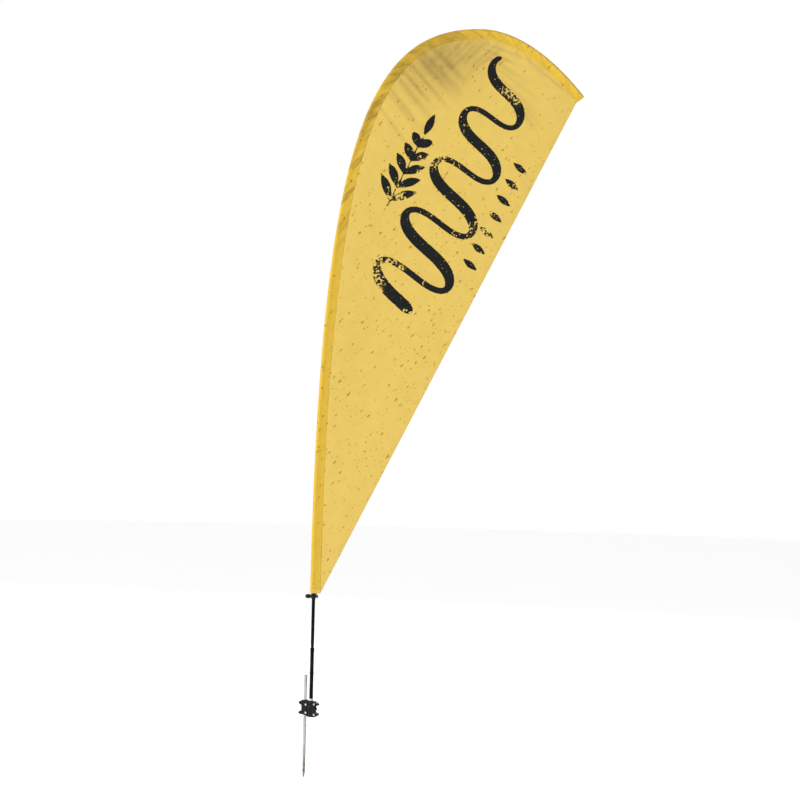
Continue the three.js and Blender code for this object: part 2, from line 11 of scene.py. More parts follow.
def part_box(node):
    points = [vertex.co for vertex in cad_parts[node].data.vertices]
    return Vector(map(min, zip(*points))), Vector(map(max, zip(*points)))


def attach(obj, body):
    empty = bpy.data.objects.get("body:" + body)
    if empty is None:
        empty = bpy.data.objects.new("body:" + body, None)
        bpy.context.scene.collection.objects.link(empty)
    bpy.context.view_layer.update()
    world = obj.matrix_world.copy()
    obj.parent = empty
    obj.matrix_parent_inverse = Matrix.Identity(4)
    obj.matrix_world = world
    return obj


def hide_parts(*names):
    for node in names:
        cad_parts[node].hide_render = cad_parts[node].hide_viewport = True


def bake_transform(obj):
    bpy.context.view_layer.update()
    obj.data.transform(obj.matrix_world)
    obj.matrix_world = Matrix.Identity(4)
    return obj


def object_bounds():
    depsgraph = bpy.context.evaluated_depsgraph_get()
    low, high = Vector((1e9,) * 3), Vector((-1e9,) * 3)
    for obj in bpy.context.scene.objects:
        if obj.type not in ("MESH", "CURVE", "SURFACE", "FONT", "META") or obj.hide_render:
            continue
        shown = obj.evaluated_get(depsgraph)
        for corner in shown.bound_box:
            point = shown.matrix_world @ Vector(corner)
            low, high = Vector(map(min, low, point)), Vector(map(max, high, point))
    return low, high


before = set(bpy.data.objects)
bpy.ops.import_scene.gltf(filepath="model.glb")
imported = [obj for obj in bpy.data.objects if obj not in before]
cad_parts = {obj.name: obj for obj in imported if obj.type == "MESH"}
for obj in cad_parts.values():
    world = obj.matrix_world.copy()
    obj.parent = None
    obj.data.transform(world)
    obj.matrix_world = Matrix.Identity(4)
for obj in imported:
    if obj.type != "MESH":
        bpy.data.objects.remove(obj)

CAD_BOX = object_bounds()

bl_info = {
    "name": "Teardrop Flag",
    "version": (1, 0, 0),
    "blender": (4, 5, 0),
    "location": "View3D > Sidebar > Flag",
    "description": "Builds a teardrop flag with its pole, bracket and ground stake",
    "category": "Add Mesh",
}

MM = 0.001

# The view: its centre and width in the flag's plane, and how far the camera is rolled.
VIEW_CENTRE = Vector((0.2530, 0, 0.9886))
VIEW_WIDTH = 2.48
VIEW_ROLL = math.radians(1.4)

# Leading edge of the flag, in its own plane.
SLEEVE_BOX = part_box("pole_sleeve")
FLAG_FOOT = SLEEVE_BOX[0].z
NOSE = (SLEEVE_BOX[1].y - SLEEVE_BOX[0].y) / 2      # radius of the sleeve round the pole
CROWN = np.array([0.479, SLEEVE_BOX[1].z - NOSE])
TIP = CROWN + np.array([0.316, -0.2])
TIP_ANGLE = math.radians(142)
RISE_HANDLE, CROWN_HANDLE, FALL_HANDLE, TIP_HANDLE = 0.8, 0.73, 0.475, 0.25
SLEEVE_SLACK = 0.0036
BEND_START = 0.430
SEAM = 0.024                # from the sleeve's line to the seam with the faces
SLEEVE_FLAT = 0.062         # width of the sleeve's strip before it is folded
POCKET_LENGTH, BINDING_LENGTH = 0.016, 0.014
LAYER_GAP, LAYER_SWELL = 0.0006, 0.0012     # between the cloth layers, and more in the middle
HEM_WIDTH = 0.012
HEM_FLAT = 0.030
STITCH = 0.0034
THREAD = 0.00024            # radius of the sewing thread

# Pole sections: the node, its radius, and where it starts and ends along the pole.
POLE_SECTIONS = (
    ("base_pole", 0.0052, 0.0, 0.64), ("mid_pole", 0.0041, 0.56, 1.20),
    ("upper_pole", 0.0031, 1.12, 1.76), ("tip_rod", 0.0021, 1.68, 2.48),
)
FERRULES = ("ferrule_lower", "ferrule_middle", "ferrule_upper")
FERRULE_LENGTH = 0.040
FERRULE_WALL = 0.0007

# Bracket, in its own directions: u along it, v through it to the back, and height.
BRACKET_TURN = math.radians(-34)
BRACKET_HEIGHT = 0.050
PLATE = 0.007
WEB = 0.0048                # thinned plate between the bosses
SPLIT = 0.00015             # from the middle to the face of each half
BARREL = 0.0085
GROOVE_HALF, GROOVE_DEPTH = 0.0025, 0.002
STAKE_OFFSET, STAKE_SETBACK = 0.027, 0.007
STAKE_BOSS = 0.010
BOLTS = ((-0.0141, 0.0375), (0.0175, 0.041), (-0.0141, 0.0125), (0.0175, 0.009))
BOLT_PAD = 0.0052
EDGE_HEIGHTS = (0, 7, 12, 17.25, 23, 27, 32.75, 38, 43, 50)     # of the outlines below, in mm
RIGHT_EDGE = (14, 28, 28, 15.5, 19.5, 19.5, 15.5, 28, 28, 14)
CAP_EDGE = (7.7, 21.7, 21.7, 16.1, 16.1, 16.1, 16.1, 21.7, 21.7, 7.7)
BODY_EDGE = (33.5, 47.5, 47.5, 37, 37, 37, 37, 47.5, 47.5, 33.5)
BODY_LIFT = 0.005           # of the body's lower left corner

# Tension collar and its screw, whose axis lies along X.
COLLAR_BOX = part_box("tension_collar")
KNOB_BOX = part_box("thumb_screw_knob")
SCREW_HEIGHT = (KNOB_BOX[0].z + KNOB_BOX[1].z) / 2
PEG = 0.0028
LOOP_PLACE = 0.00975
LOOP_RISE = 0.014           # how far the elastic runs up into the sleeve's mouth
ELASTIC = 0.0013

FLOOR_RADIUS = 14


# ---- Lines --------------------------------------------------------------------------------


def bezier(points, steps=400):
    """Points along a cubic curve."""
    share = np.linspace(0, 1, steps)[:, None]
    a, b, c, d = (np.array(point, float) for point in points)
    rest = 1 - share
    return a * rest**3 + 3 * b * rest**2 * share + 3 * c * rest * share**2 + d * share**3


class Line:
    """A line in the flag's plane, as (x, z), read by the distance along it."""

    def __init__(self, points):
        self.points = points
        steps = np.hypot(*np.diff(points, axis=0).T)
        self.reach = np.concatenate([[0], np.cumsum(steps)])
        self.length = float(self.reach[-1])
        turn = np.gradient(points, self.reach, axis=0)
        self.turn = turn / np.linalg.norm(turn, axis=1)[:, None]

    def at(self, distance):
        """Places and directions at these distances."""
        place = [np.interp(distance, self.reach, self.points[:, axis]) for axis in (0, 1)]
        turn = [np.interp(distance, self.reach, self.turn[:, axis]) for axis in (0, 1)]
        size = np.hypot(*turn)
        return np.stack(place, -1), np.stack([turn[0] / size, turn[1] / size], -1)


def leading_line(foot):
    """Rises straight up from its foot, runs level over the crown and falls to the tip."""
    height = CROWN[1] - FLAG_FOOT
    fall = TIP - CROWN
    rise_end = (foot[0], FLAG_FOOT + RISE_HANDLE * height)
    before_crown = (CROWN[0] * (1 - CROWN_HANDLE), CROWN[1])
    after_crown = (CROWN[0] + FALL_HANDLE * fall[0], CROWN[1])
    direction = np.array([math.sin(TIP_ANGLE), math.cos(TIP_ANGLE)])
    before_tip = TIP + TIP_HANDLE * fall[1] * direction
    rise = bezier([foot, rise_end, before_crown, CROWN], 900)
    return np.vstack([rise[:-1], bezier([CROWN, after_crown, before_tip, TIP])])


SLEEVE_LINE = Line(leading_line((-SLEEVE_SLACK, FLAG_FOOT)))
POLE_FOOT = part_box("base_pole")[0].z
POLE_LINE = Line(np.vstack([[[0, POLE_FOOT]], leading_line((0, BEND_START))]))


def off_sleeve(distance, inset):
    """Places beside the sleeve's line: inset is how far into the flag."""
    place, turn = SLEEVE_LINE.at(distance)
    inward = np.stack([turn[..., 1], -turn[..., 0]], -1)
    return place + inward * np.asarray(inset)[..., None]


TRAILING_FOOT = off_sleeve(np.array(0.0), np.array(SEAM))
TRAILING_TOP = off_sleeve(np.array(SLEEVE_LINE.length), np.array(SEAM))
TRAILING_RUN = np.hypot(*(TRAILING_TOP - TRAILING_FOOT))
TRAILING_WAY = (TRAILING_TOP - TRAILING_FOOT) / TRAILING_RUN
INTO_FLAG = np.array([-TRAILING_WAY[1], TRAILING_WAY[0]])


# ---- Relief and print of the cloth ------------------------------------------------------------


def off_edge(run, inset):
    """Places beside the trailing edge: run along it from its foot, and inset into the flag."""
    return TRAILING_FOOT + TRAILING_WAY * run + INTO_FLAG * inset


def smooth(value, low, high):
    share = np.clip((value - low) / (high - low), 0, 1)
    return share * share * (3 - 2 * share)


def uneven(index, salt):
    """A fixed number from 0 to 1 that looks random."""
    return math.sin(index * 12.9898 + salt * 78.233) * 43758.5453 % 1


# Fans of soft folds that start along the bent pole: the ends of the line where they start,
# their first and last angle in degrees, how many, their length, half width and depth.
FANS = (
    ((0.165, 1.915), (0.330, 2.085), -53, -44, 9, 0.210, 0.0085, 0.80),
    ((0.395, 2.115), (0.535, 2.085), -128, -140, 7, 0.150, 0.0075, 0.60),
    ((0.500, 2.090), (0.560, 1.950), -22, -50, 7, 0.180, 0.0070, 0.55),
    ((0.150, 1.900), (0.085, 1.720), -108, -122, 5, 0.110, 0.0095, 0.70),
    ((0.640, 2.040), (0.700, 1.990), -48, -36, 3, 0.090, 0.0060, 0.35),
)


def folds(x, z):
    """How much the folds shade the cloth at these places, from 0 to about 1."""
    total = np.zeros_like(x)
    for number, (start, end, first, last, count, length, half, depth) in enumerate(FANS):
        for index in range(count):
            share = (index + 0.7 * uneven(index, number) - 0.35) / (count - 1)
            angle = math.radians(first + (last - first) * share)
            away_x, away_z = math.cos(angle), math.sin(angle)
            near_x = x - (start[0] + (end[0] - start[0]) * share)
            near_z = z - (start[1] + (end[1] - start[1]) * share)
            along = near_x * away_x + near_z * away_z
            reach = length * (0.65 + 0.6 * uneven(index, number + 9))
            across = near_z * away_x - near_x * away_z + 0.18 * along * along * (share - 0.5)
            width = half * (0.6 + 0.7 * uneven(index, number + 5)) * (0.8 + 0.5 * along / reach)
            ridge = np.exp(-(across / np.maximum(width, 0.003)) ** 2)
            fade = smooth(along, -0.045, 0.02) * (1 - smooth(along, reach * 0.35, reach))
            total += depth * (0.45 + 0.55 * uneven(index, number + 2)) * ridge * fade
    return total / (1 + 0.35 * total)


def shade(x, z):
    """The broad shadow under the crown, with the folds in it."""
    reach = np.hypot((x - 0.315) / 0.23, (z - 2.065) / 0.15)
    return 0.60 * (1 - smooth(reach, 0.1, 1.25)) + 1.10 * folds(x, z)


def relief(x, z, along, inset):
    """How far the cloth stands behind the flag's plane: gathers at the seam, folds, a belly."""
    share = along / SLEEVE_LINE.length
    bent = smooth(share, 0.3, 0.6) * (1 - 0.6 * smooth(share, 0.9, 1.0))
    gathers = np.sin(along / 0.0068 + 1.3 * np.sin(along / 0.041))
    gathers += 0.7 * np.sin(along / 0.0113 + 2.1 * np.sin(along / 0.067))
    from_seam = np.maximum(inset - SEAM, 0)
    deep = 0.0004 * gathers * np.exp(-from_seam / (0.012 + 0.02 * bent)) * (0.4 + 0.6 * bent)
    from_edge = (x - TRAILING_FOOT[0]) * INTO_FLAG[0] + (z - TRAILING_FOOT[1]) * INTO_FLAG[1]
    drawn = np.sin(from_edge / 0.016 + 1.5 * np.sin(z / 0.31))
    drawn = drawn * 0.0006 * (1 - smooth(share, 0.35, 0.8)) * smooth(from_seam, 0, 0.05)
    belly = 0.006 * smooth(from_edge, 0, 0.25) * smooth(from_seam, 0, 0.2)
    flutter = 0.0025 * np.sin(z / 0.23 + 0.8) * (1 - smooth(from_edge, 0, 0.2))
    flutter = flutter * smooth(z, FLAG_FOOT, FLAG_FOOT + 0.5) * (1 - smooth(z, 1.7, 1.93))
    return deep + drawn + belly + flutter - 0.0012 * folds(x, z) * smooth(from_seam, 0, 0.03)


def brush(points, widths, steps=48):
    """Discs along a brush stroke of changing width, as (x, z, radius)."""
    points, widths = np.array(points, float), np.array(widths, float)
    fine = np.linspace(0, len(points) - 1, steps * (len(points) - 1))
    at = np.minimum(fine.astype(int), len(points) - 2)
    share = fine - at
    columns = []
    for values in (points[:, 0], points[:, 1], widths / 2):
        slope = np.gradient(values)
        column = values[at] * (1 + 2 * share) * (1 - share) ** 2
        column += values[at + 1] * share**2 * (3 - 2 * share)
        column += slope[at] * share * (1 - share) ** 2 - slope[at + 1] * share**2 * (1 - share)
        columns.append(column)
    return np.stack(columns, -1)


def wave_stroke():
    """One long brush stroke that swings from side to side up the flag, narrowing as it goes."""
    share = np.linspace(0, 1, 900)
    phase = 2 * math.pi * (4.40 * share + 0.02) - 0.5
    reach = 0.122 * (1 - 0.40 * share) * smooth(share, -0.25, 0.1)
    across = reach * np.sin(phase)
    run = 0.905 + 0.80 * share + 0.22 * across - 0.0125 * np.sin(2 * phase)
    places = off_edge(run[:, None], (0.198 + 0.012 * share + across)[:, None])
    heavy = smooth(np.cos(phase), -0.5, 0.9)
    ends = np.sqrt(np.clip(np.minimum(share, 1 - share) / 0.006, 0, 1))
    radius = (0.0100 + 0.0088 * heavy) * (1 - 0.20 * share) * (0.55 + 0.45 * ends)
    return np.column_stack([places, radius])


def sprig_strokes():
    """A plain leafy sprig: a thin stem with pairs of leaves."""
    foot, way = off_edge(1.145, 0.372), TRAILING_WAY
    across = INTO_FLAG
    strokes = [brush([foot, foot + way * 0.15, foot + way * 0.27], [0.006, 0.005, 0.004])]
    for pair in range(5):
        start = foot + way * (0.035 + 0.047 * pair)
        size = 0.088 - 0.010 * pair
        for side in (-1, 1):
            leaf = way * 0.70 + across * side * 0.71
            middle = start + leaf * size * 0.5 + way * 0.004
            strokes.append(brush([start, middle, start + leaf * size], [0.005, 0.027, 0.003]))
    top = foot + way * 0.265
    strokes.append(brush([top, top + way * 0.035, top + way * 0.072], [0.005, 0.025, 0.003]))
    return strokes


def lozenge_strokes():
    """A row of small lozenges beside the trailing edge."""
    strokes = []
    for index in range(7):
        low = off_edge(1.112 + 0.056 * index, 0.036)
        high = off_edge(1.124 + 0.056 * index, 0.084)
        strokes.append(brush([low, (low + high) / 2, high], [0.005, 0.020, 0.005]))
    return strokes


def ink_depth(x, z):
    """How far inside the print's outline a place is, in metres; negative is outside."""
    discs = np.vstack([wave_stroke(), *sprig_strokes(), *lozenge_strokes()])
    depth = np.full(len(x), -0.05)
    for disc_x, disc_z, radius in discs:
        depth = np.maximum(depth, radius - np.hypot(x - disc_x, z - disc_z))
    return depth


# ---- Finishes -----------------------------------------------------------------------------


class Finish:
    """A material in the making. Its inputs are values, colours or the outputs of other nodes."""

    def __init__(self, name, **shader):
        self.material = bpy.data.materials.new(name)
        self.material.use_nodes = True
        self.tree = self.material.node_tree
        self.tree.nodes.clear()
        self.shader = self.add("ShaderNodeBsdfPrincipled", shader)
        self.add("ShaderNodeOutputMaterial", {"Surface": self.shader.outputs[0]})
        coordinates = self.add("ShaderNodeTexCoord")
        self.place, self.weave = coordinates.outputs["Object"], coordinates.outputs["UV"]

    def add(self, kind, inputs=None, **settings):
        node = self.tree.nodes.new(kind)
        for key, value in settings.items():
            setattr(node, key, value)
        for key, value in (inputs or {}).items():
            socket = node.inputs[key if isinstance(key, int) else key.replace("_", " ")]
            if isinstance(value, bpy.types.NodeSocket):
                self.tree.links.new(value, socket)
            else:
                socket.default_value = value
        return node

    def math(self, operation, a, b=0.0, c=0.0):
        return self.add("ShaderNodeMath", {0: a, 1: b, 2: c}, operation=operation).outputs[0]

    def noise(self, scale, detail=2.0, vector=None, **more):
        inputs = {"Scale": scale, "Detail": detail, "Vector": vector or self.place, **more}
        return self.add("ShaderNodeTexNoise", inputs).outputs["Fac"]

    def span(self, value, low, high, to_low=0.0, to_high=1.0):
        inputs = {0: value, 1: low, 2: high, 3: to_low, 4: to_high}
        return self.add("ShaderNodeMapRange", inputs).outputs[0]

    def mix(self, share, a, b, blend_type="MIX"):
        node = self.add("ShaderNodeMix", data_type="RGBA", blend_type=blend_type)
        for key, value in ((0, share), (6, a), (7, b)):
            if isinstance(value, bpy.types.NodeSocket):
                self.tree.links.new(value, node.inputs[key])
            else:
                node.inputs[key].default_value = value
        return node.outputs[2]

    def squeezed(self, x, y, z, vector=None, turn=0.0):
        inputs = {"Scale": (x, y, z), "Vector": vector or self.place, "Rotation": (0, turn, 0)}
        return self.add("ShaderNodeMapping", inputs).outputs[0]

    def attribute(self, name):
        return self.add("ShaderNodeAttribute", attribute_name=name).outputs["Fac"]

    def bump(self, height, strength, distance=0.0005, normal=None):
        inputs = {"Height": height, "Strength": strength, "Distance": distance}
        if normal is not None:
            inputs["Normal"] = normal
        return self.add("ShaderNodeBump", inputs).outputs[0]

    def feed(self, name, value):
        self.tree.links.new(value, self.shader.inputs[name])


def rgba(colour):
    return (*colour, 1.0)


def darker(colour, share):
    return tuple(part * share for part in colour)


def knit(finish):
    """The fine loops of knitted flag cloth, as a height."""
    cloth = finish.add("ShaderNodeUVMap", uv_map="weave").outputs[0]
    rows = finish.add("ShaderNodeTexWave", {"Scale": 420.0, "Distortion": 1.2, "Vector": cloth,
                                            "Detail": 1.0, "Detail Scale": 3.0},
                      bands_direction="X").outputs["Fac"]
    ribs = finish.add("ShaderNodeTexWave", {"Scale": 560.0, "Distortion": 0.6, "Vector": cloth,
                                            "Detail": 0.0}, bands_direction="Y").outputs["Fac"]
    return finish.math("MULTIPLY", rows, ribs)


def flecked(finish, colour, settings):
    """Scatters small brown flecks over a colour, thicker in the lower half of the flag."""
    parts = finish.add("ShaderNodeSeparateXYZ", {0: finish.place}).outputs
    ragged = finish.math("MULTIPLY", finish.math("SUBTRACT", finish.noise(170.0, 3.0), 0.5), 0.011)
    flat = finish.add("ShaderNodeCombineXYZ", {0: finish.math("ADD", parts[0], ragged),
                                               1: finish.math("ADD", parts[2], ragged)}).outputs[0]
    low = finish.span(parts[2], 1.9, 1.0, 0.0, 0.08)
    shares = []
    for scale, size, turn, often in ((44.0, 0.105, -0.8, 0.22), (75.0, 0.14, -0.5, 0.16),
                                     (150.0, 0.16, -1.1, 0.05)):
        place = finish.add("ShaderNodeMapping", {"Vector": flat, "Scale": (1.0, 2.0, 1.0),
                                                 "Rotation": (0.0, 0.0, turn)},
                           vector_type="TEXTURE").outputs[0]
        cells = finish.add("ShaderNodeTexVoronoi", {"Scale": scale, "Vector": place},
                           voronoi_dimensions="2D")
        pick = finish.add("ShaderNodeSeparateColor", {0: cells.outputs["Color"]}).outputs
        kept = finish.math("LESS_THAN", pick[0], finish.math("ADD", low, often))
        radius = finish.math("MULTIPLY", finish.math("ADD", pick[1], 0.3), size)
        inside = finish.span(finish.math("SUBTRACT", cells.outputs["Distance"], radius),
                             -0.04, 0.03, 1.0, 0.0)
        strength = finish.span(pick[2], 0.0, 1.0, 0.45, 1.0)
        shares.append(finish.math("MULTIPLY", finish.math("MULTIPLY", inside, kept), strength))
    share = finish.math("MAXIMUM", finish.math("MAXIMUM", shares[0], shares[1]), shares[2])
    return finish.mix(share, colour, rgba(settings.fleck_colour))


def cloth_finish(name, colour, settings, printed=False, painted_crease_shade=False):
    """Knitted polyester: faint mottling, painted fold shading, flecks, and the print or painted
    crease shade if any.
    """
    finish = Finish(name, Sheen_Weight=0.04, Sheen_Roughness=0.4)
    finish.shader.inputs["Specular IOR Level"].default_value = 0.18
    tone = finish.mix(finish.span(finish.noise(26.0, 4.0), 0.35, 0.65),
                      rgba(darker(colour, 0.955)), rgba(colour))
    # Painted shade: the 'shade' attribute darkens the colour towards the shadow colour under the
    # crown and along the folds.
    cast = finish.math("MULTIPLY", finish.attribute("shade"),
                       finish.span(finish.noise(48.0, 3.0), 0.3, 0.7, 0.8, 1.15))
    shadow = rgba((colour[0] * 0.50, colour[1] * 0.49, colour[2] * 0.60))
    tone = finish.mix(finish.span(cast, 0.0, 1.25), tone, shadow)
    if painted_crease_shade:
        # Painted crease shade: diagonal dark streaks across the sleeve where it bends, mixed
        # towards the shadow colour.
        slant = finish.add("ShaderNodeMapping", {"Vector": finish.weave, "Scale": (1.0, 0.55, 1.0),
                                                 "Rotation": (0.0, 0.0, 0.75)}).outputs[0]
        crease_shade_coords = finish.add("ShaderNodeMapping", {"Vector": slant,
                                                  "Scale": (0.16, 1.0, 1.0)}).outputs[0]
        deep = finish.span(finish.noise(95.0, 3.0, crease_shade_coords), 0.45, 0.63)
        deep = finish.math("MULTIPLY", deep, finish.attribute("bent"))
        tone = finish.mix(finish.math("MULTIPLY", deep, 0.9), tone, shadow)
    tone = flecked(finish, tone, settings)
    loops = knit(finish)
    if printed:
        blur = finish.span(finish.noise(260.0, 2.0), 0.3, 0.7, -0.0007, 0.0007)
        edge = finish.math("ADD", finish.attribute("ink"), blur)
        ink = finish.span(edge, -0.0004, 0.0006)
        patches = finish.span(finish.noise(9.0, 2.0), 0.52, 0.66)
        worn = finish.math("LESS_THAN", finish.noise(135.0, 4.0),
                           finish.span(patches, 0.0, 1.0, 0.315, 0.49))
        fine = finish.math("LESS_THAN", finish.noise(380.0, 2.0),
                           finish.span(patches, 0.0, 1.0, 0.25, 0.36))
        kept = finish.math("SUBTRACT", 1.0, finish.math("MAXIMUM", worn, fine))
        tone = finish.mix(finish.math("MULTIPLY", ink, kept), tone, rgba(settings.ink_colour))
    # Painted shade: the colour darkens towards black in the low hollows between the knit's loops.
    tone = finish.mix(finish.span(loops, 0.0, 0.6, 0.08, 0.0), tone, (0.0, 0.0, 0.0, 1.0))
    finish.feed("Base Color", tone)
    finish.feed("Roughness", finish.span(loops, 0.0, 1.0, 0.86, 0.74))
    finish.feed("Normal", finish.bump(loops, 0.35, 0.00025))
    return finish.material


def thread_finish(settings):
    finish = Finish("sewing_thread", Roughness=0.6, Sheen_Weight=0.2)
    twist = finish.add("ShaderNodeTexWave", {"Scale": 900.0, "Vector": finish.place},
                       bands_direction="DIAGONAL").outputs["Fac"]
    tone = finish.mix(twist, rgba(darker(settings.sleeve_colour, 0.8)),
                      rgba(settings.thread_colour))
    finish.feed("Base Color", tone)
    finish.feed("Normal", finish.bump(twist, 0.4, 0.0001))
    return finish.material


def liner_finish():
    finish = Finish("blockout_cloth", Roughness=0.85)
    weave = finish.noise(500.0, 2.0)
    finish.feed("Base Color", finish.mix(weave, (0.35, 0.34, 0.32, 1), (0.52, 0.51, 0.48, 1)))
    finish.feed("Normal", finish.bump(weave, 0.3, 0.0002))
    return finish.material


def pole_finish(name, settings, gloss=0.28):
    """Black glossy tube with fine lengthwise drawing lines, scuffs and dust."""
    finish = Finish(name)
    finish.shader.inputs["Specular IOR Level"].default_value = 0.07
    lines = finish.noise(90.0, 3.0, finish.squeezed(1.0, 1.0, 0.03))
    scuffs = finish.noise(60.0, 5.0, finish.squeezed(1.0, 1.0, 0.35))
    colour = settings.pole_colour
    tone = finish.mix(finish.span(scuffs, 0.52, 0.72, 0.0, 0.7), rgba(colour),
                      rgba(tuple(part + 0.022 for part in colour)))
    finish.feed("Base Color", tone)
    finish.feed("Roughness", finish.span(scuffs, 0.3, 0.75, gloss, gloss + 0.28))
    finish.feed("Normal", finish.bump(lines, 0.12, 0.0002))
    return finish.material


def moulded_finish(settings):
    """Black moulded nylon: fine spark grain, and paler on the worn edges."""
    finish = Finish("moulded_nylon")
    finish.shader.inputs["Specular IOR Level"].default_value = 0.22
    grain = finish.noise(1400.0, 2.0)
    blotch = finish.noise(70.0, 4.0)
    colour = settings.moulded_colour
    bend = finish.add("ShaderNodeNewGeometry").outputs["Pointiness"]
    edge = finish.span(bend, 0.52, 0.60, 0.0, 0.45)
    tone = finish.mix(finish.span(blotch, 0.4, 0.7), rgba(colour),
                      rgba(tuple(part + 0.005 for part in colour)))
    tone = finish.mix(edge, tone, rgba(tuple(part + 0.05 for part in colour)))
    finish.feed("Base Color", tone)
    finish.feed("Roughness", finish.span(blotch, 0.3, 0.7, 0.20, 0.36))
    finish.feed("Normal", finish.bump(grain, 0.2, 0.00006))
    return finish.material


def steel_finish(name, colour, roughness, stain=None):
    """Drawn steel. A stain gives (height where the soil marks end, height of the point)."""
    finish = Finish(name, Metallic=1.0)
    lines = finish.noise(300.0, 3.0, finish.squeezed(1.0, 1.0, 0.02))
    blotch = finish.noise(45.0, 4.0, finish.squeezed(1.0, 1.0, 0.3))
    tone = finish.mix(finish.span(blotch, 0.35, 0.7, 0.0, 0.8), rgba(colour),
                      rgba(darker(colour, 0.6)))
    tone = finish.mix(finish.span(lines, 0.50, 0.62, 0.0, 0.6), tone, rgba(darker(colour, 0.35)))
    rough = finish.span(blotch, 0.3, 0.7, roughness - 0.06, roughness + 0.12)
    if stain:
        height = finish.add("ShaderNodeSeparateXYZ", {0: finish.place}).outputs[2]
        soil = finish.noise(110.0, 5.0)
        low = finish.span(height, stain[0], stain[0] - 0.02, 0.0, 1.0)
        share = finish.math("MULTIPLY", low, finish.span(soil, 0.38, 0.6, 0.25, 1.0))
        tone = finish.mix(share, tone, (0.13, 0.09, 0.045, 1))
        point = finish.span(height, stain[1] + 0.012, stain[1] + 0.002, 0.0, 0.85)
        tone = finish.mix(point, tone, (0.02, 0.018, 0.015, 1))
        rough = finish.math("ADD", rough, finish.math("MULTIPLY", share, 0.3))
        finish.feed("Metallic", finish.span(share, 0.0, 1.0, 1.0, 0.35))
    finish.feed("Base Color", tone)
    finish.feed("Roughness", rough)
    finish.feed("Normal", finish.bump(lines, 0.15, 0.0001))
    return finish.material


def plain_finish(name, colour, roughness, metallic=0.0, scale=200.0):
    """A small part's finish: a slight change of tone and sheen over it, and a fine grain."""
    finish = Finish(name, Metallic=metallic)
    blotch = finish.noise(scale, 3.0)
    tone = finish.mix(finish.span(blotch, 0.35, 0.7), rgba(colour), rgba(darker(colour, 0.82)))
    finish.feed("Base Color", tone)
    finish.feed("Roughness", finish.span(blotch, 0.3, 0.7, roughness - 0.05, roughness + 0.1))
    finish.feed("Normal", finish.bump(finish.noise(scale * 8, 2.0), 0.1, 0.00005))
    return finish.material


def elastic_finish():
    """Black braided elastic: the braid crosses over along the cord."""
    finish = Finish("elastic_braid", Roughness=0.75)
    left = finish.add("ShaderNodeTexWave", {"Scale": 330.0, "Vector": finish.place},
                      bands_direction="DIAGONAL").outputs["Fac"]
    grain = finish.noise(900.0, 2.0)
    height = finish.math("ADD", left, finish.math("MULTIPLY", grain, 0.4))
    tone = finish.mix(height, (0.006, 0.006, 0.006, 1), (0.03, 0.03, 0.032, 1))
    finish.feed("Base Color", tone)
    finish.feed("Normal", finish.bump(height, 0.6, 0.0002))
    return finish.material


# ---- Making meshes ----------------------------------------------------------------------------


def new_piece(name, mesh, material, body, nodes=()):
    """Links a finished mesh as a piece that rides on a body, if any, and stands for CAD nodes."""
    piece = bpy.data.objects.new(name, mesh)
    bpy.context.scene.collection.objects.link(piece)
    mesh.materials.append(material)
    if body:
        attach(piece, body)
    if nodes:
        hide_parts(*nodes)
    return piece


def outwards(shape):
    """Makes a closed bmesh's faces point outwards."""
    bmesh.ops.recalc_face_normals(shape, faces=shape.faces)
    if shape.calc_volume(signed=True) < 0:
        bmesh.ops.reverse_faces(shape, faces=shape.faces)


def solid_piece(name, shape, material, body, nodes=(), sharp=32):
    """Turns a closed bmesh into a piece with its faces outwards."""
    bmesh.ops.remove_doubles(shape, verts=shape.verts, dist=2e-6)
    outwards(shape)
    mesh = bpy.data.meshes.new(name)
    shape.to_mesh(mesh)
    shape.free()
    mesh.shade_smooth()
    mesh.set_sharp_from_angle(angle=math.radians(sharp))
    return new_piece(name, mesh, material, body, nodes)


def grid_shape(columns, rows, place):
    """A bmesh grid moved into place by a function of its shares across and along."""
    shape = bmesh.new()
    bmesh.ops.create_grid(shape, x_segments=columns, y_segments=rows, size=0.5)
    shares = np.array([vert.co[:2] for vert in shape.verts]) + 0.5
    for vert, point in zip(shape.verts, place(shares[:, 0], shares[:, 1])):
        vert.co = point
    return shape


def sheet_piece(name, columns, rows, place, facing, material, nodes, thickness=0.0):
    """A grid of cloth on the mast, moved into place by a function of its shares.

    The function gives places, the cloth's flat layout and, by name, its attributes. Facing is
    roughly where the middle of its outer side looks; without it, the mesh is closed."""
    shape = bmesh.new()
    bmesh.ops.create_grid(shape, x_segments=columns, y_segments=rows, size=0.5)
    shape.faces.index_update()
    middle = min(shape.faces, key=lambda face: face.calc_center_median().length).index
    mesh = bpy.data.meshes.new(name)
    shape.to_mesh(mesh)
    shape.free()
    shares = np.empty(len(mesh.vertices) * 3)
    mesh.vertices.foreach_get("co", shares)
    shares = shares.reshape(-1, 3) + 0.5
    points, cloth, values = place(shares[:, 0], shares[:, 1])
    mesh.vertices.foreach_set("co", points.astype(np.float32).ravel())
    corners = np.empty(len(mesh.loops), np.int32)
    mesh.loops.foreach_get("vertex_index", corners)
    weave = mesh.uv_layers.new(name="weave")
    weave.data.foreach_set("uv", cloth[corners].astype(np.float32).ravel())
    for key, value in values.items():
        mesh.attributes.new(key, "FLOAT", "POINT").data.foreach_set(
            "value", value.astype(np.float32))
    shape = bmesh.new()
    shape.from_mesh(mesh)
    shape.faces.ensure_lookup_table()
    shape.faces[middle].normal_update()
    turned_round = facing and shape.faces[middle].normal.dot(Vector(facing)) < 0
    bmesh.ops.remove_doubles(shape, verts=shape.verts, dist=2e-6)
    if not facing:
        outwards(shape)
    elif turned_round:
        bmesh.ops.reverse_faces(shape, faces=shape.faces)
    shape.to_mesh(mesh)
    shape.free()
    mesh.shade_smooth()
    piece = new_piece(name, mesh, material, "mast", nodes)
    if thickness:
        wall = piece.modifiers.new("wall", "SOLIDIFY")
        wall.thickness = thickness
        wall.offset = -1.0
    return piece


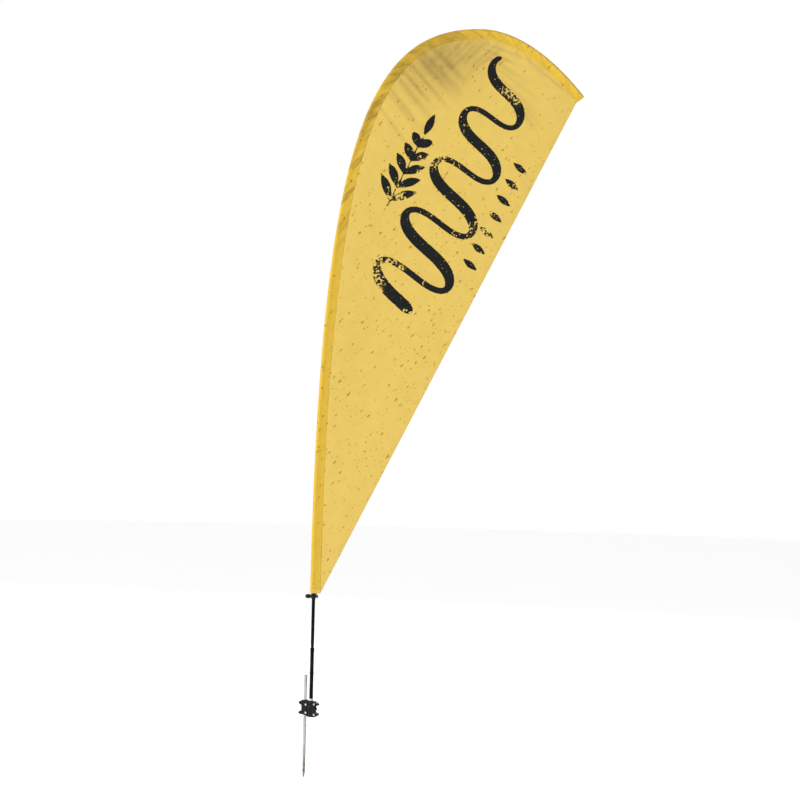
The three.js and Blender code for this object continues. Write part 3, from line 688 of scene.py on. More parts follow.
def turned(profile, steps=48, hollow=False):
    """A bmesh spun about Z from (radius, height) points in mm, listed up its outside."""
    shape = bmesh.new()
    verts = [shape.verts.new((radius * MM, 0, height * MM)) for radius, height in profile]
    edges = [shape.edges.new(pair) for pair in zip(verts, verts[1:])]
    if hollow:
        edges.append(shape.edges.new((verts[-1], verts[0])))
    bmesh.ops.spin(shape, geom=verts + edges, cent=(0, 0, 0), axis=(0, 0, 1),
                   angle=2 * math.pi, steps=steps, use_merge=True)
    bmesh.ops.remove_doubles(shape, verts=shape.verts, dist=1e-7)
    return shape


def rounded(points, radius, steps=3):
    """A profile whose corners are cut to small arcs; its two ends stay as they are."""
    out = [points[0]]
    for before, corner, after in zip(points, points[1:], points[2:]):
        corner, arms = Vector(corner), []
        for other in (before, after):
            arm = Vector(other) - corner
            arms.append(arm.normalized() * min(radius, arm.length * 0.45))
        for step in range(steps + 1):
            share = step / steps
            point = corner + arms[0] * (1 - share) ** 2 + arms[1] * share**2
            out.append(tuple(point))
    return out + [points[-1]]


def placed(shape, matrix):
    bmesh.ops.transform(shape, matrix=matrix, verts=shape.verts)
    return shape


def merged(*shapes):
    """All the shapes in the first one."""
    whole = shapes[0]
    for shape in shapes[1:]:
        mesh = bpy.data.meshes.new("part")
        shape.to_mesh(mesh)
        shape.free()
        whole.from_mesh(mesh)
        bpy.data.meshes.remove(mesh)
    return whole


def edges_of(verts):
    """The edges at these vertices, each once and always in the same order."""
    return list(dict.fromkeys(edge for vert in verts for edge in vert.link_edges))


def at_ends(along):
    """Whether each share is the first or the last, where a closed tube shrinks to a point."""
    return np.abs(2 * along - 1) > 0.99999


def swept(line, start, end, radii, steps, sides=28):
    """A round rod along a stretch of a line: radii gives its radius by its share of the way."""
    shape = bmesh.new()
    rings = []
    for step in range(steps + 1):
        share = step / steps
        place, turn = line.at(start + (end - start) * share)
        matrix = Matrix.Translation((place[0], 0, place[1]))
        matrix = matrix @ Matrix.Rotation(math.atan2(turn[0], turn[1]), 4, "Y")
        ring = bmesh.ops.create_circle(shape, segments=sides, radius=radii(share), matrix=matrix,
                                       cap_ends=step in (0, steps))
        rings.append(edges_of(ring["verts"]))
    for low, high in zip(rings, rings[1:]):
        bmesh.ops.bridge_loops(shape, edges=low + high)
    return shape


def chamfered(radius, chamfer):
    """A rod's radius by its share of the way: a little smaller at its two ends."""
    return lambda share: radius - (chamfer if share in (0, 1) else 0)


# ---- Flag -------------------------------------------------------------------------------------


def panel_place(level, swell):
    """Places of one cloth layer: level is how far it lies behind the middle of the flag."""
    under = 0.006     # how far the cloth runs in under the sleeve's edge

    def place(across, along):
        distance = along * SLEEVE_LINE.length
        inner = off_sleeve(distance, np.full_like(distance, SEAM - under))
        outer = TRAILING_FOOT + TRAILING_WAY * (along * TRAILING_RUN)[:, None] + INTO_FLAG * 0.004
        flat = inner + (outer - inner) * across[:, None]
        x, z = flat.T
        width = np.hypot(*(outer - inner).T)
        inset = SEAM - under + across * width
        hollow = np.sin(math.pi * across) ** 0.5 * smooth(width, 0.02, 0.2)
        y = relief(x, z, distance, inset) + level + swell * hollow
        values = {"shade": shade(x, z)}
        if swell:
            values["ink"] = ink_depth(x, z)
        return np.stack([x, y, z], -1), flat, values

    return place


def panel_flat():
    """The flat size and the area of one face, from its outline."""
    steps = 200
    along = np.repeat(np.linspace(0, 1, steps), 2)
    across = np.tile([0.0, 1.0], steps)
    _, flat, _ = panel_place(0.0, 0.0)(across, along)
    flat = flat.reshape(steps, 2, 2)
    outline = np.vstack([flat[:, 0], flat[::-1, 1]])
    ahead = np.roll(outline, -1, axis=0)
    area = abs(np.sum(outline[:, 0] * ahead[:, 1] - outline[:, 1] * ahead[:, 0])) / 2
    from_edge = (outline - TRAILING_FOOT) @ INTO_FLAG
    return (float(np.ptp(from_edge)), TRAILING_RUN), area


SIDE = 0.36     # share of the sleeve's outline, from the seam to where its nose begins


def sleeve_section(turn, share):
    """The sleeve's outline: from the seam in front, round the nose, to the seam behind.

    It gives how far each point lies behind the middle, and in from the sleeve's line."""
    nose = NOSE * (0.98 - 0.20 * smooth(share, 0.3, 0.85))
    centre = nose - NOSE
    half = 0.0014
    lean = math.pi / 2 - np.arcsin(np.clip((nose - half) / (SEAM - centre), 0, 1))
    round_share = np.clip((turn - SIDE) / (1 - 2 * SIDE), 0, 1)
    angle = (2 * round_share - 1) * (math.pi - lean)
    edge = np.minimum(turn, 1 - turn) / SIDE
    sign = np.where(turn < 0.5, -1.0, 1.0)
    touch = nose * np.sin(lean)
    sag = 0.0009 * np.sin(math.pi * edge)
    on_side = edge < 1
    behind = np.where(on_side, sign * (half + (touch - half) * edge - sag), nose * np.sin(angle))
    meets = centre + nose * np.cos(lean)
    inward = np.where(on_side, SEAM + (meets - SEAM) * edge, centre - nose * np.cos(angle))
    return behind, inward


def sleeve_place(start, end, proud=0.0):
    """Places of the sleeve between two distances along it, or of a strip round its outside."""

    def place(turn, along):
        distance = start + (end - start) * along
        behind, inward = sleeve_section(turn, distance / SLEEVE_LINE.length)
        pinch = smooth(distance, SLEEVE_LINE.length - 0.011, SLEEVE_LINE.length - 0.001)
        behind = behind * (1 - 0.72 * pinch * (np.abs(behind) > 0.001))
        side = np.clip(behind / 0.002, -1, 1)
        slack = np.sin(distance / 0.019 + 1.7 * np.sin(distance / 0.083)) * 0.00025
        slack = slack + np.sin(distance / 0.0075 + turn * 9) * 0.00012
        behind = behind + side * (proud + slack * smooth(inward, 0.0, 0.006))
        inward = inward - proud * (inward < 0)
        flat = off_sleeve(distance, inward)
        x, z = flat.T
        seam_inset = np.full_like(distance, SEAM)
        seam = off_sleeve(distance, seam_inset)
        follow = smooth(inward, 0.0, SEAM)
        y = behind + follow * relief(seam[:, 0], seam[:, 1], distance, seam_inset)
        cloth = np.stack([turn * SLEEVE_FLAT, distance], -1)
        share = distance / SLEEVE_LINE.length
        # How bent the sleeve is here; as an attribute it weights the painted crease shade.
        bent = 0.06 + 0.94 * smooth(share, 0.42, 0.56) * (1 - 0.7 * smooth(share, 0.72, 0.9))
        return np.stack([x, y, z], -1), cloth, {"shade": shade(x, z), "bent": bent}

    return place


def hem_place(across, along):
    """A folded strip over the trailing edge, round at its fold."""
    start, end = 0.0008, TRAILING_RUN + 0.004
    run = start + (end - start) * along
    turn = across * 2 * math.pi
    half = HEM_WIDTH / 2
    deep = 0.00125 * np.sign(np.sin(turn)) * np.abs(np.sin(turn)) ** 0.45
    deep = np.where(at_ends(along), 0.0, deep)
    puckers = 0.00018 * np.sin(run / 0.0031) * np.sin(run / 0.047)
    taper = smooth(run, TRAILING_RUN - 0.03, TRAILING_RUN)
    width = (0.3 + 0.7 * smooth(run, 0.0, 0.05)) * (1 - 0.4 * taper)
    into = half + half * np.cos(turn) * width - half * (1 - width)
    flat = TRAILING_FOOT + TRAILING_WAY * run[:, None] + INTO_FLAG * into[:, None]
    x, z = flat.T
    y = relief(x, z, run / TRAILING_RUN * SLEEVE_LINE.length, np.full_like(run, 0.4))
    cloth = np.stack([across * HEM_FLAT, run], -1)
    return np.stack([x, y + deep + puckers, z], -1), cloth, {"shade": shade(x, z)}


def stitch_piece(name, surface, turn, side, length, material):
    """A row of stitches on a sheet: a thread that goes in and comes out again."""
    count = int(length / STITCH)

    def place(around, along):
        steady = np.full_like(along, turn)
        base = surface(steady, along)[0]
        step = 0.3 / count
        way = surface(steady, np.clip(along + step, 0, 1))[0]
        way = way - surface(steady, np.clip(along - step, 0, 1))[0]
        way /= np.linalg.norm(way, axis=1)[:, None]
        out = np.array([0.0, side, 0.0])
        across = np.cross(way, out)
        across /= np.linalg.norm(across, axis=1)[:, None]
        lift = np.abs(np.sin(math.pi * along * count)) ** 0.6
        shut = smooth(np.minimum(along, 1 - along) * count, 0.001, 0.15)
        rise = THREAD * (2.1 * lift - 1.1)
        radius = shut * THREAD * (0.35 + 0.65 * lift)
        angle = around * 2 * math.pi
        ring = across * np.cos(angle)[:, None] + out * np.sin(angle)[:, None]
        points = base + out * rise[:, None] + ring * radius[:, None]
        return points, np.stack([around * 0.002, along * length], -1), {}

    return sheet_piece(name, 7, count * 6 + 1, place, None, material, ())


# ---- Pole, socket and washer ------------------------------------------------------------------


def washer_shape():
    low, high = (corner.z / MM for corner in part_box("thrust_washer"))
    return turned(rounded([(4.4, low), (5.8, low), (5.8, high), (4.4, high)], 0.5), 40, True)


def socket_shape():
    """A thin tube with a rolled mouth, and a crimp and two beads where it is stiffened."""
    low, high = (corner.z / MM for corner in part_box("swivel_socket"))
    crimp = low + 78
    outside = [(4.55, low), (5.8, low), (5.8, crimp - 4.5), (6.4, crimp - 2.4),
               (6.4, crimp - 0.9), (6.05, crimp), (6.4, crimp + 0.9), (6.4, crimp + 2.4),
               (5.8, crimp + 4.5), (5.8, high - 13.5), (6.4, high - 9), (6.4, high - 0.2),
               (6.0, high), (4.7, high)]
    inside = [(4.4, high - 1), (4.4, crimp + 1.5), (3.5, crimp), (4.4, crimp - 1.5),
              (4.4, low + 0.4)]
    return turned(rounded(outside, 0.7) + inside, 48, True)


def spindle_shape():
    low, high = (corner.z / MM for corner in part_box("spindle"))
    return turned([(0, low), *rounded([(3.4, low), (4.0, low + 0.6), (4.0, 12.5), (6.5, 12.5),
                                       (6.5, 17.5), (4.0, 17.5), (4.0, high - 1.6),
                                       (2.7, high)], 0.25), (0, high)], 40)


# ---- Bracket ----------------------------------------------------------------------------------


def soft_max(a, b, blend=0.0005):
    """The larger of two heights, with a fillet where they meet."""
    return blend * np.logaddexp(a / blend, b / blend)


def in_bracket(turn_matrix=Matrix(), u=0.0, v=0.0, z=0.0):
    """From a shape's own axes to its place in the turned bracket."""
    turned_by = Matrix.Rotation(BRACKET_TURN, 4, "Z")
    return turned_by @ Matrix.Translation((u, v, z)) @ turn_matrix


def half_bracket(left_edge, lift, side, boss):
    """One moulded half: a webbed plate with pointed ears, barrel, bolt pads and ribs.

    side is -1 for the front half and 1 for the back half."""
    heights = np.linspace(0, BRACKET_HEIGHT, 201)
    soften = np.hanning(9) / np.hanning(9).sum()
    edges = []
    for outline in (left_edge, RIGHT_EDGE):
        sharp = np.interp(heights, np.array(EDGE_HEIGHTS) * MM, np.array(outline) * MM)
        edges.append(np.convolve(np.pad(sharp, 4, "edge"), soften, "valid"))

    def place(across, along):
        across = 0.5 - 0.5 * np.cos(math.pi * across)
        foot = lift * (1 - across)
        z = foot + (BRACKET_HEIGHT - foot) * (0.5 - 0.5 * np.cos(math.pi * along))
        left = -np.interp(z, heights, edges[0])
        right = np.interp(z, heights, edges[1])
        u = left + (right - left) * across
        rim = np.minimum(np.minimum(u - left, right - u), np.minimum(z - foot, BRACKET_HEIGHT - z))
        bound = np.where(rim < 0.0016, PLATE - 0.0006, 0.0)
        height = soft_max(np.full_like(u, WEB), bound)
        for bolt_u, bolt_z in BOLTS:
            away = np.hypot(u - bolt_u, z - bolt_z)
            height = soft_max(height, PLATE - 2.4 * np.maximum(away - BOLT_PAD, 0))
        rib = PLATE - 0.0004 - 8 * np.maximum(np.abs(z - BRACKET_HEIGHT / 2) - 0.0010, 0)
        height = soft_max(height, rib)
        groove = smooth(np.abs(z - BRACKET_HEIGHT / 2), GROOVE_HALF - 0.0004, GROOVE_HALF + 0.0004)
        radius = BARREL - GROOVE_DEPTH * (1 - groove)
        barrel = np.sqrt(np.maximum(radius**2 - u**2, 0))
        height = soft_max(height, barrel)
        if boss:
            bulge = np.sqrt(np.maximum(STAKE_BOSS**2 - (u + STAKE_OFFSET) ** 2, 0))
            height = soft_max(height, np.where(bulge > 0, STAKE_SETBACK + bulge, 0))
            for bolt_u, bolt_z in BOLTS:
                pocket = np.hypot(u - bolt_u, z - bolt_z) < 0.0046
                height = np.where(pocket, np.minimum(height, PLATE), height)
        nearness = np.clip(rim / 0.0009, 0, 1)
        height = height - 0.0009 * (1 - np.sqrt(1 - (1 - nearness) ** 2))
        return np.stack([u, side * height, z], -1)

    shape = grid_shape(150 if boss else 110, 110, place)
    walls = bmesh.ops.extrude_face_region(shape, geom=shape.faces[:])
    back = [item for item in walls["geom"] if isinstance(item, bmesh.types.BMVert)]
    for vert in back:
        vert.co.y = side * SPLIT
    return placed(shape, Matrix.Rotation(BRACKET_TURN, 4, "Z"))


def bolt_shape(u, z):
    """A button-head bolt along v: hexagon socket, thin flange and a chamfered thread end."""
    profile = [(0, -10.8), (1.5, -10.8), (2.0, -10.3), (2.0, 7.0), (3.8, 7.3), (3.8, 7.8)]
    profile += [(3.8 * math.cos(a), 7.8 + 2.4 * math.sin(a)) for a in (0.25, 0.5, 0.75, 0.92)]
    shank = turned(profile, 24)
    inner = top_rim(shank)
    for height, closed in ((9.8, False), (8.2, True)):
        outer = inner
        hexagon = bmesh.ops.create_circle(shank, segments=6, radius=1.45 * MM, cap_ends=closed,
                                          matrix=Matrix.Translation((0, 0, height * MM)))
        inner = edges_of(hexagon["verts"])
        bmesh.ops.bridge_loops(shank, edges=outer + inner)
    return placed(shank, in_bracket(Matrix.Rotation(math.pi / 2, 4, "X"), u=u, z=z))


def top_rim(shape):
    """The open edges at a shape's highest rim."""
    top = max(vert.co.z for vert in shape.verts)
    return [edge for edge in shape.edges
            if edge.is_boundary and all(vert.co.z > top - 1e-6 for vert in edge.verts)]


def nut_shape(u, z):
    """A hexagon nut with chamfered corners, behind the back plate."""
    shape = bmesh.new()
    bmesh.ops.create_cone(shape, segments=6, radius1=4.04 * MM, radius2=4.04 * MM,
                          depth=3.2 * MM, cap_ends=True)
    bmesh.ops.bevel(shape, geom=shape.edges[:], offset=0.35 * MM, segments=2, profile=0.5,
                    affect="EDGES", material=-1)
    depth = 7.3 + 1.6
    return placed(shape, in_bracket(Matrix.Rotation(-math.pi / 2, 4, "X"), u=u, v=depth * MM, z=z))


def stake_shape():
    """A ground rod with a hammered head, a shoulder and a blunt point."""
    low, high = (corner.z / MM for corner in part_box("stake_rod"))
    profile = [(0, low), (1.0, low + 0.6), (3.7, low + 14), (4.0, low + 16), (4.0, low + 63),
               (4.3, low + 66), (4.9, low + 71), (5.0, low + 74), (5.0, high - 5),
               (5.5, high - 4.5), (5.7, high - 3.6), (5.7, high - 1.4), (5.3, high - 0.5),
               (4.6, high - 0.1), (3.0, high - 0.05), (0, high)]
    shape = turned(profile, 40)
    return placed(shape, in_bracket(u=-STAKE_OFFSET, v=STAKE_SETBACK))


# ---- Tension collar ---------------------------------------------------------------------------


def along_screw(direction):
    """From a shape built about Z to one whose top points along X, at the screw's height."""
    turn = Matrix.Rotation(direction * math.pi / 2, 4, "Y")
    return Matrix.Translation((0, 0, SCREW_HEIGHT)) @ turn


def collar_shape():
    """A tapered ring with a boss for the screw on one side and a peg on the other."""
    low, high = COLLAR_BOX[0].z / MM, COLLAR_BOX[1].z / MM
    ring = turned(rounded([(5.5, low), (6.2, low), (7.5, low + 8), (7.5, high), (5.5, high)],
                          0.7) + [(5.5, high - 0.5), (5.5, low + 0.5)], 48, True)
    boss = turned([(0, 5.5), *rounded([(6.2, 5.5), (5.6, 8.0), (5.2, 10.6), (3.2, 10.6)], 0.5),
                   (3.2, 9.6), (0, 9.6)], 36)
    peg = turned([(0, 6.0), *rounded([(3.6, 6.0), (2.8, 7.6), (2.8, 11.6), (5.0, 12.0),
                                      (5.0, 13.6), (2.0, 13.6)], 0.6), (0, 13.6)], 36)
    placed(peg, along_screw(1))
    for vert in peg.verts:
        drop = SCREW_HEIGHT - vert.co.z
        if vert.co.x > 11.8 * MM and drop > 0:
            vert.co += Vector((0.09 * drop, 0, -0.42 * drop))
    return merged(ring, placed(boss, along_screw(-1)), peg)


def knob_shape():
    """A hand knob with six lobes, narrower towards the collar and domed at its end."""
    ends = sorted((-KNOB_BOX[0].x, -KNOB_BOX[1].x))
    reach = ends[1] - ends[0]
    stations = ((0, 0), (0, 0.80), (0.02, 0.90), (0.10, 0.97), (0.24, 1.0), (0.40, 0.99),
                (0.62, 0.92), (0.80, 0.80), (0.92, 0.58), (0.985, 0.34), (1.0, 0.14), (1, 0))
    rise = [station[0] for station in stations]
    wide = [station[1] for station in stations]
    order = np.linspace(0, 1, len(stations))

    def place(around, along):
        height = ends[0] + reach * np.interp(along, order, rise)
        radius = 0.0068 * np.interp(along, order, wide)
        angle = around * 2 * math.pi
        lobe = 0.5 + 0.5 * np.cos(6 * angle)
        radius = radius * (1 - 0.17 * (1 - lobe**0.6) * smooth(radius, 0.002, 0.006))
        return np.stack([radius * np.cos(angle), radius * np.sin(angle), height], -1)

    return placed(grid_shape(97, 56, place), along_screw(-1))


def thread_profile(start, end, radius):
    """A screw seen from its side: shallow rings stand for its thread."""
    profile = [(0, start), (radius - 0.5, start)]
    height = start + 0.5
    while height < end - 0.5:
        profile += [(radius, height), (radius - 0.38, height + 0.35)]
        height += 0.7
    return profile + [(radius - 0.5, end), (0, end)]


def loop_place(around, along):
    """The elastic: down out of the sleeve's mouth, under the peg and back up."""
    bend = PEG + 0.0003 + ELASTIC
    together = ELASTIC + 0.0003
    top = FLAG_FOOT + LOOP_RISE
    leg = [(together, top), (together, FLAG_FOOT + 0.007), (together, FLAG_FOOT),
           (bend, SCREW_HEIGHT + bend / 3)]
    turn = [(bend * math.cos(a), SCREW_HEIGHT - bend * math.sin(a))
            for a in np.linspace(0, math.pi, 9)]
    route = np.array(leg + turn + [(-y, z) for y, z in reversed(leg)])
    reach = np.concatenate([[0], np.cumsum(np.hypot(*np.diff(route, axis=0).T))])
    knots = np.linspace(0, reach[-1], 160)
    fine = np.stack([np.interp(knots, reach, route[:, axis]) for axis in (0, 1)], -1)
    for _ in range(12):
        fine[1:-1] = (fine[:-2] + 2 * fine[1:-1] + fine[2:]) / 4
    line = Line(fine)
    place, way = line.at(np.clip(along, 0.0001, 0.9999) * line.length)
    shut = np.where(at_ends(along), 0.0, 1.0)
    radius = ELASTIC * shut * (1 + 0.02 * np.sin(along * 300))
    angle = around * 2 * math.pi
    x = LOOP_PLACE + radius * np.cos(angle)
    y = place[:, 0] + radius * np.sin(angle) * way[:, 1]
    z = place[:, 1] - radius * np.sin(angle) * way[:, 0]
    return np.stack([x, y, z], -1)


def tab_shape():
    """A folded scrap of webbing that holds the loop's ends inside the sleeve's mouth."""
    low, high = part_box("loop_tab")
    shape = bmesh.new()
    bmesh.ops.create_cube(shape, size=1.0)
    bmesh.ops.subdivide_edges(shape, edges=shape.edges[:], cuts=3, use_grid_fill=True)
    bmesh.ops.smooth_vert(shape, verts=shape.verts, factor=0.5, use_axis_x=True, use_axis_y=True,
                          use_axis_z=True)
    bmesh.ops.scale(shape, vec=high - low, verts=shape.verts)
    bmesh.ops.translate(shape, vec=(low + high) / 2, verts=shape.verts)
    return shape


# ---- Settings and operators -------------------------------------------------------------------


class FlagSettings(bpy.types.PropertyGroup):
    """Colours and sizes that a user would change"""

    sleeve_colour: FloatVectorProperty(
        name="Sleeve colour", description="Dye of the pole sleeve", subtype="COLOR",
        default=(0.850, 0.550, 0.060), min=0, max=1)
    panel_colour: FloatVectorProperty(
        name="Panel colour", description="Ground colour of the printed faces", subtype="COLOR",
        default=(0.847, 0.597, 0.136), min=0, max=1)
    ink_colour: FloatVectorProperty(
        name="Ink colour", description="Colour of the print", subtype="COLOR",
        default=(0.010, 0.0115, 0.0115), min=0, max=1)
    fleck_colour: FloatVectorProperty(
        name="Fleck colour", description="Colour of the scattered flecks", subtype="COLOR",
        default=(0.42, 0.205, 0.018), min=0, max=1)
    thread_colour: FloatVectorProperty(
        name="Thread colour", description="Colour of the stitches", subtype="COLOR",
        default=(0.84, 0.60, 0.14), min=0, max=1)
    pole_colour: FloatVectorProperty(
        name="Pole colour", description="Colour of the pole's coat", subtype="COLOR",
        default=(0.003, 0.003, 0.0035), min=0, max=1)
    moulded_colour: FloatVectorProperty(
        name="Moulded colour", description="Colour of the bracket and collar", subtype="COLOR",
        default=(0.004, 0.004, 0.0055), min=0, max=1)
    cloth_thickness: FloatProperty(
        name="Cloth thickness", description="Thickness of one layer of cloth",
        subtype="DISTANCE", unit="LENGTH", default=0.00035, min=0.0001, max=0.001)
    camera_distance: FloatProperty(
        name="Camera distance", description="From the camera to the flag's plane",
        subtype="DISTANCE", unit="LENGTH", default=7.0, min=2, max=40)
    key_power: FloatProperty(
        name="Key light", description="Power of the main soft light", unit="POWER",
        default=104.0, min=0, max=1000)


class FLAG_OT_stage(bpy.types.Operator):
    """Makes the floor, the soft lights and the camera"""

    bl_idname = "flag.stage"
    bl_label = "Stage"

    def execute(self, context):
        settings = context.scene.flag_settings
        scene = context.scene
        scene.view_settings.view_transform = "Standard"
        make_camera(scene, settings.camera_distance)
        make_floor(scene)
        make_world(scene)
        lamps = (("key", (-3.4, -4.6, 3.2), 1.3, 1.0), ("fill", (3.6, -4.2, 2.2), 3.5, 0.16),
                 ("rim", (1.5, 4.0, 3.5), 3.0, 0.7))
        for name, place, size, share in lamps:
            light = bpy.data.lights.new(name, "AREA")
            light.size = size
            light.energy = settings.key_power * share
            lamp = bpy.data.objects.new(name, light)
            lamp.location = place
            aim = Vector((0.3, 0, 1.2)) - Vector(place)
            lamp.rotation_euler = aim.to_track_quat("-Z", "Y").to_euler()
            scene.collection.objects.link(lamp)
        return {"FINISHED"}


def make_camera(scene, distance):
    """A level camera in front of the flag, rolled a little so that the pole leans."""
    camera = bpy.data.cameras.new("camera")
    camera.sensor_width = 36
    camera.lens = camera.sensor_width * distance / VIEW_WIDTH
    camera.clip_end = 100
    viewer = bpy.data.objects.new("camera", camera)
    scene.collection.objects.link(viewer)
    viewer.matrix_world = (Matrix.Translation(VIEW_CENTRE - Vector((0, distance, 0)))
                           @ Matrix.Rotation(math.pi / 2, 4, "X")
                           @ Matrix.Rotation(VIEW_ROLL, 4, "Z"))
    scene.camera = viewer


def make_floor(scene):
    shape = bmesh.new()
    bmesh.ops.create_circle(shape, segments=96, radius=FLOOR_RADIUS, cap_ends=True)
    bmesh.ops.translate(shape, verts=shape.verts, vec=(0, 0, CAD_BOX[0].z - 0.0005))
    mesh = bpy.data.meshes.new("floor")
    shape.to_mesh(mesh)
    shape.free()
    pale = Finish("pale_floor", Roughness=0.95)
    pale.feed("Base Color", pale.mix(pale.noise(2.0), (0.94, 0.94, 0.94, 1),
                                     (0.97, 0.97, 0.97, 1)))
    pale.shader.inputs["Emission Color"].default_value = (1, 1, 1, 1)
    pale.shader.inputs["Emission Strength"].default_value = 0.45
    mesh.materials.append(pale.material)
    floor = bpy.data.objects.new("floor", mesh)
    scene.collection.objects.link(floor)


def make_world(scene):
    """White behind the flag, and a soft surround that is dimmer on the right."""
    world = bpy.data.worlds.new("studio")
    world.use_nodes = True
    tree = world.node_tree
    background = tree.nodes["Background"]
    place = tree.nodes.new("ShaderNodeTexCoord")
    parts = tree.nodes.new("ShaderNodeSeparateXYZ")
    side = tree.nodes.new("ShaderNodeMapRange")
    seen = tree.nodes.new("ShaderNodeLightPath")
    pick = tree.nodes.new("ShaderNodeMix")
    for index, value in enumerate((-0.40, 0.35, 1.0, 0.10), start=1):
        side.inputs[index].default_value = value
    pick.inputs[3].default_value = 1.0
    for output, target in ((place.outputs["Generated"], parts.inputs[0]),
                           (parts.outputs[0], side.inputs[0]),
                           (seen.outputs["Is Camera Ray"], pick.inputs[0]),
                           (side.outputs[0], pick.inputs[2]),
                           (pick.outputs[0], background.inputs[1])):
        tree.links.new(output, target)
    background.inputs[0].default_value = (1, 1, 1, 1)
    scene.world = world


class FLAG_OT_sleeve(bpy.types.Operator):
    """Makes the pole sleeve, its closed end, the binding of its mouth and its seams"""

    bl_idname = "flag.sleeve"
    bl_label = "Sleeve"

    def execute(self, context):
        settings = context.scene.flag_settings
        cloth = cloth_finish("sleeve_cloth", settings.sleeve_colour, settings, painted_crease_shade=True)
        bound = cloth_finish("binding_cloth", settings.panel_colour, settings)
        thread = thread_finish(settings)
        end = SLEEVE_LINE.length
        on_sleeve = sleeve_place(0.0, end - 0.002)
        away = (-1, 0, 0.5)
        sleeve = sheet_piece("sleeve", 57, 601, on_sleeve, away, cloth,
                             ["pole_sleeve"], 0.0004)
        on_tip = sleeve_place(end - POCKET_LENGTH, end, 0.0006)
        pocket = sheet_piece("tip_pocket_cloth", 57, 12, on_tip, (0.8, 0, 0.6), cloth,
                             ["tip_pocket"], 0.0005)
        on_mouth = sleeve_place(-0.0003, BINDING_LENGTH - 0.0003, 0.0008)
        binding = sheet_piece("mouth_binding_cloth", 57, 14, on_mouth, (-1, 0, 0), bound,
                              ["mouth_binding"], 0.0006)
        rows = []
        for side, word in ((-1, "front"), (1, "back")):
            for turn in (0.030, 0.105):
                name = f"sleeve_stitches_{word}_{len(rows) % 2 + 1}"
                where = turn if side < 0 else 1 - turn
                rows.append(stitch_piece(name, on_sleeve, where, side, end - 0.002, thread))
        return {"FINISHED"}


class FLAG_OT_faces(bpy.types.Operator):
    """Makes the printed front, the printed back, the liner between them and the hem"""

    bl_idname = "flag.faces"
    bl_label = "Cloth faces"

    def execute(self, context):
        settings = context.scene.flag_settings
        printed = cloth_finish("printed_cloth", settings.panel_colour, settings, printed=True)
        plain = cloth_finish("hem_cloth", settings.panel_colour, settings)
        thread = thread_finish(settings)
        hem = sheet_piece("hem", 25, 421, hem_place, None, plain,
                          ["trailing_hem"])
        trims = [hem]
        for side, word in ((-1, "front"), (1, "back")):
            for number, turn in enumerate((0.64, 0.86), start=1):
                where = turn if side < 0 else 1 - turn
                trims.append(stitch_piece(f"hem_stitches_{word}_{number}", hem_place, where,
                                          side, TRAILING_RUN - 0.014, thread))
        size, area = panel_flat()
        layers = (("front_face", "front_graphic", printed, -1, trims),
                  ("back_face", "back_graphic", printed, 1, ()),
                  ("liner", "blockout_liner", liner_finish(), 0, ()))
        for name, node, material, level, pieces in layers:
            columns, rows = (97, 401) if level else (33, 121)
            layer = panel_place(level * LAYER_GAP, level * LAYER_SWELL)
            piece = sheet_piece(name, columns, rows, layer, (0, level or -1, 0), material,
                                [node],
                                settings.cloth_thickness)
        return {"FINISHED"}


class FLAG_OT_pole(bpy.types.Operator):
    """Makes the four pole sections, their ferrules, the spigot and the tip's cap"""

    bl_idname = "flag.pole"
    bl_label = "Pole"

    def execute(self, context):
        settings = context.scene.flag_settings
        coat = pole_finish("pole_coat", settings)
        band = steel_finish("ferrule_steel", (0.45, 0.45, 0.44), 0.3)
        for index, (node, radius, start, end) in enumerate(POLE_SECTIONS):
            steps = 48 if index < 2 else 72
            shape = swept(POLE_LINE, start, end, chamfered(radius, radius * 0.15), steps)
            solid_piece(f"{node}_tube", shape, coat, "mast", [node])
            if index:
                mouth = POLE_SECTIONS[index - 1][3]
                outer = POLE_SECTIONS[index - 1][1] + FERRULE_WALL
                shape = swept(POLE_LINE, mouth - FERRULE_LENGTH, mouth,
                              chamfered(outer, 0.0004), 10)
                solid_piece(f"{FERRULES[index - 1]}_band", shape, band, "mast",
                            [FERRULES[index - 1]])
        low, high = (corner.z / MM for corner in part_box("socket_spigot"))
        spigot = turned([(0, low), (3.2, low), (4.1, low + 1.4), (4.1, high), (0, high)], 36)
        solid_piece("spigot_rod", spigot, coat, "mast", ["socket_spigot"])
        end = POLE_SECTIONS[-1][3]
        cap = swept(POLE_LINE, end - 0.02, POLE_LINE.length - 0.0135,
                    lambda share: 0.0045 * (1 - 0.5 * share**6), 14)
        rubber = plain_finish("tip_rubber", (0.02, 0.02, 0.02), 0.8)
        solid_piece("tip_cap_rubber", cap, rubber, "mast", ["tip_cap"])
        return {"FINISHED"}


class FLAG_OT_swivel(bpy.types.Operator):
    """Makes the swivel socket, the washer under it and the spindle inside it"""

    bl_idname = "flag.swivel"
    bl_label = "Swivel"

    def execute(self, context):
        settings = context.scene.flag_settings
        coat = pole_finish("socket_coat", settings, 0.32)
        solid_piece("socket_tube", socket_shape(), coat, "swivel_socket",
                    ["swivel_socket"])
        nylon = plain_finish("washer_nylon", (0.80, 0.80, 0.82), 0.4)
        solid_piece("washer_ring", washer_shape(), nylon, "thrust_washer",
                    ["thrust_washer"])
        steel = steel_finish("spindle_steel", (0.55, 0.55, 0.54), 0.25)
        solid_piece("spindle_pin", spindle_shape(), steel, "ground_stake",
                    ["spindle"])
        return {"FINISHED"}


class FLAG_OT_stake(bpy.types.Operator):
    """Makes the ground stake"""

    bl_idname = "flag.stake"
    bl_label = "Stake"

    def execute(self, context):
        steel = steel_finish("stake_steel", (0.60, 0.565, 0.535), 0.24,
                             stain=(-0.118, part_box("stake_rod")[0].z))
        solid_piece("stake", stake_shape(), steel, "ground_stake", ["stake_rod"])
        return {"FINISHED"}


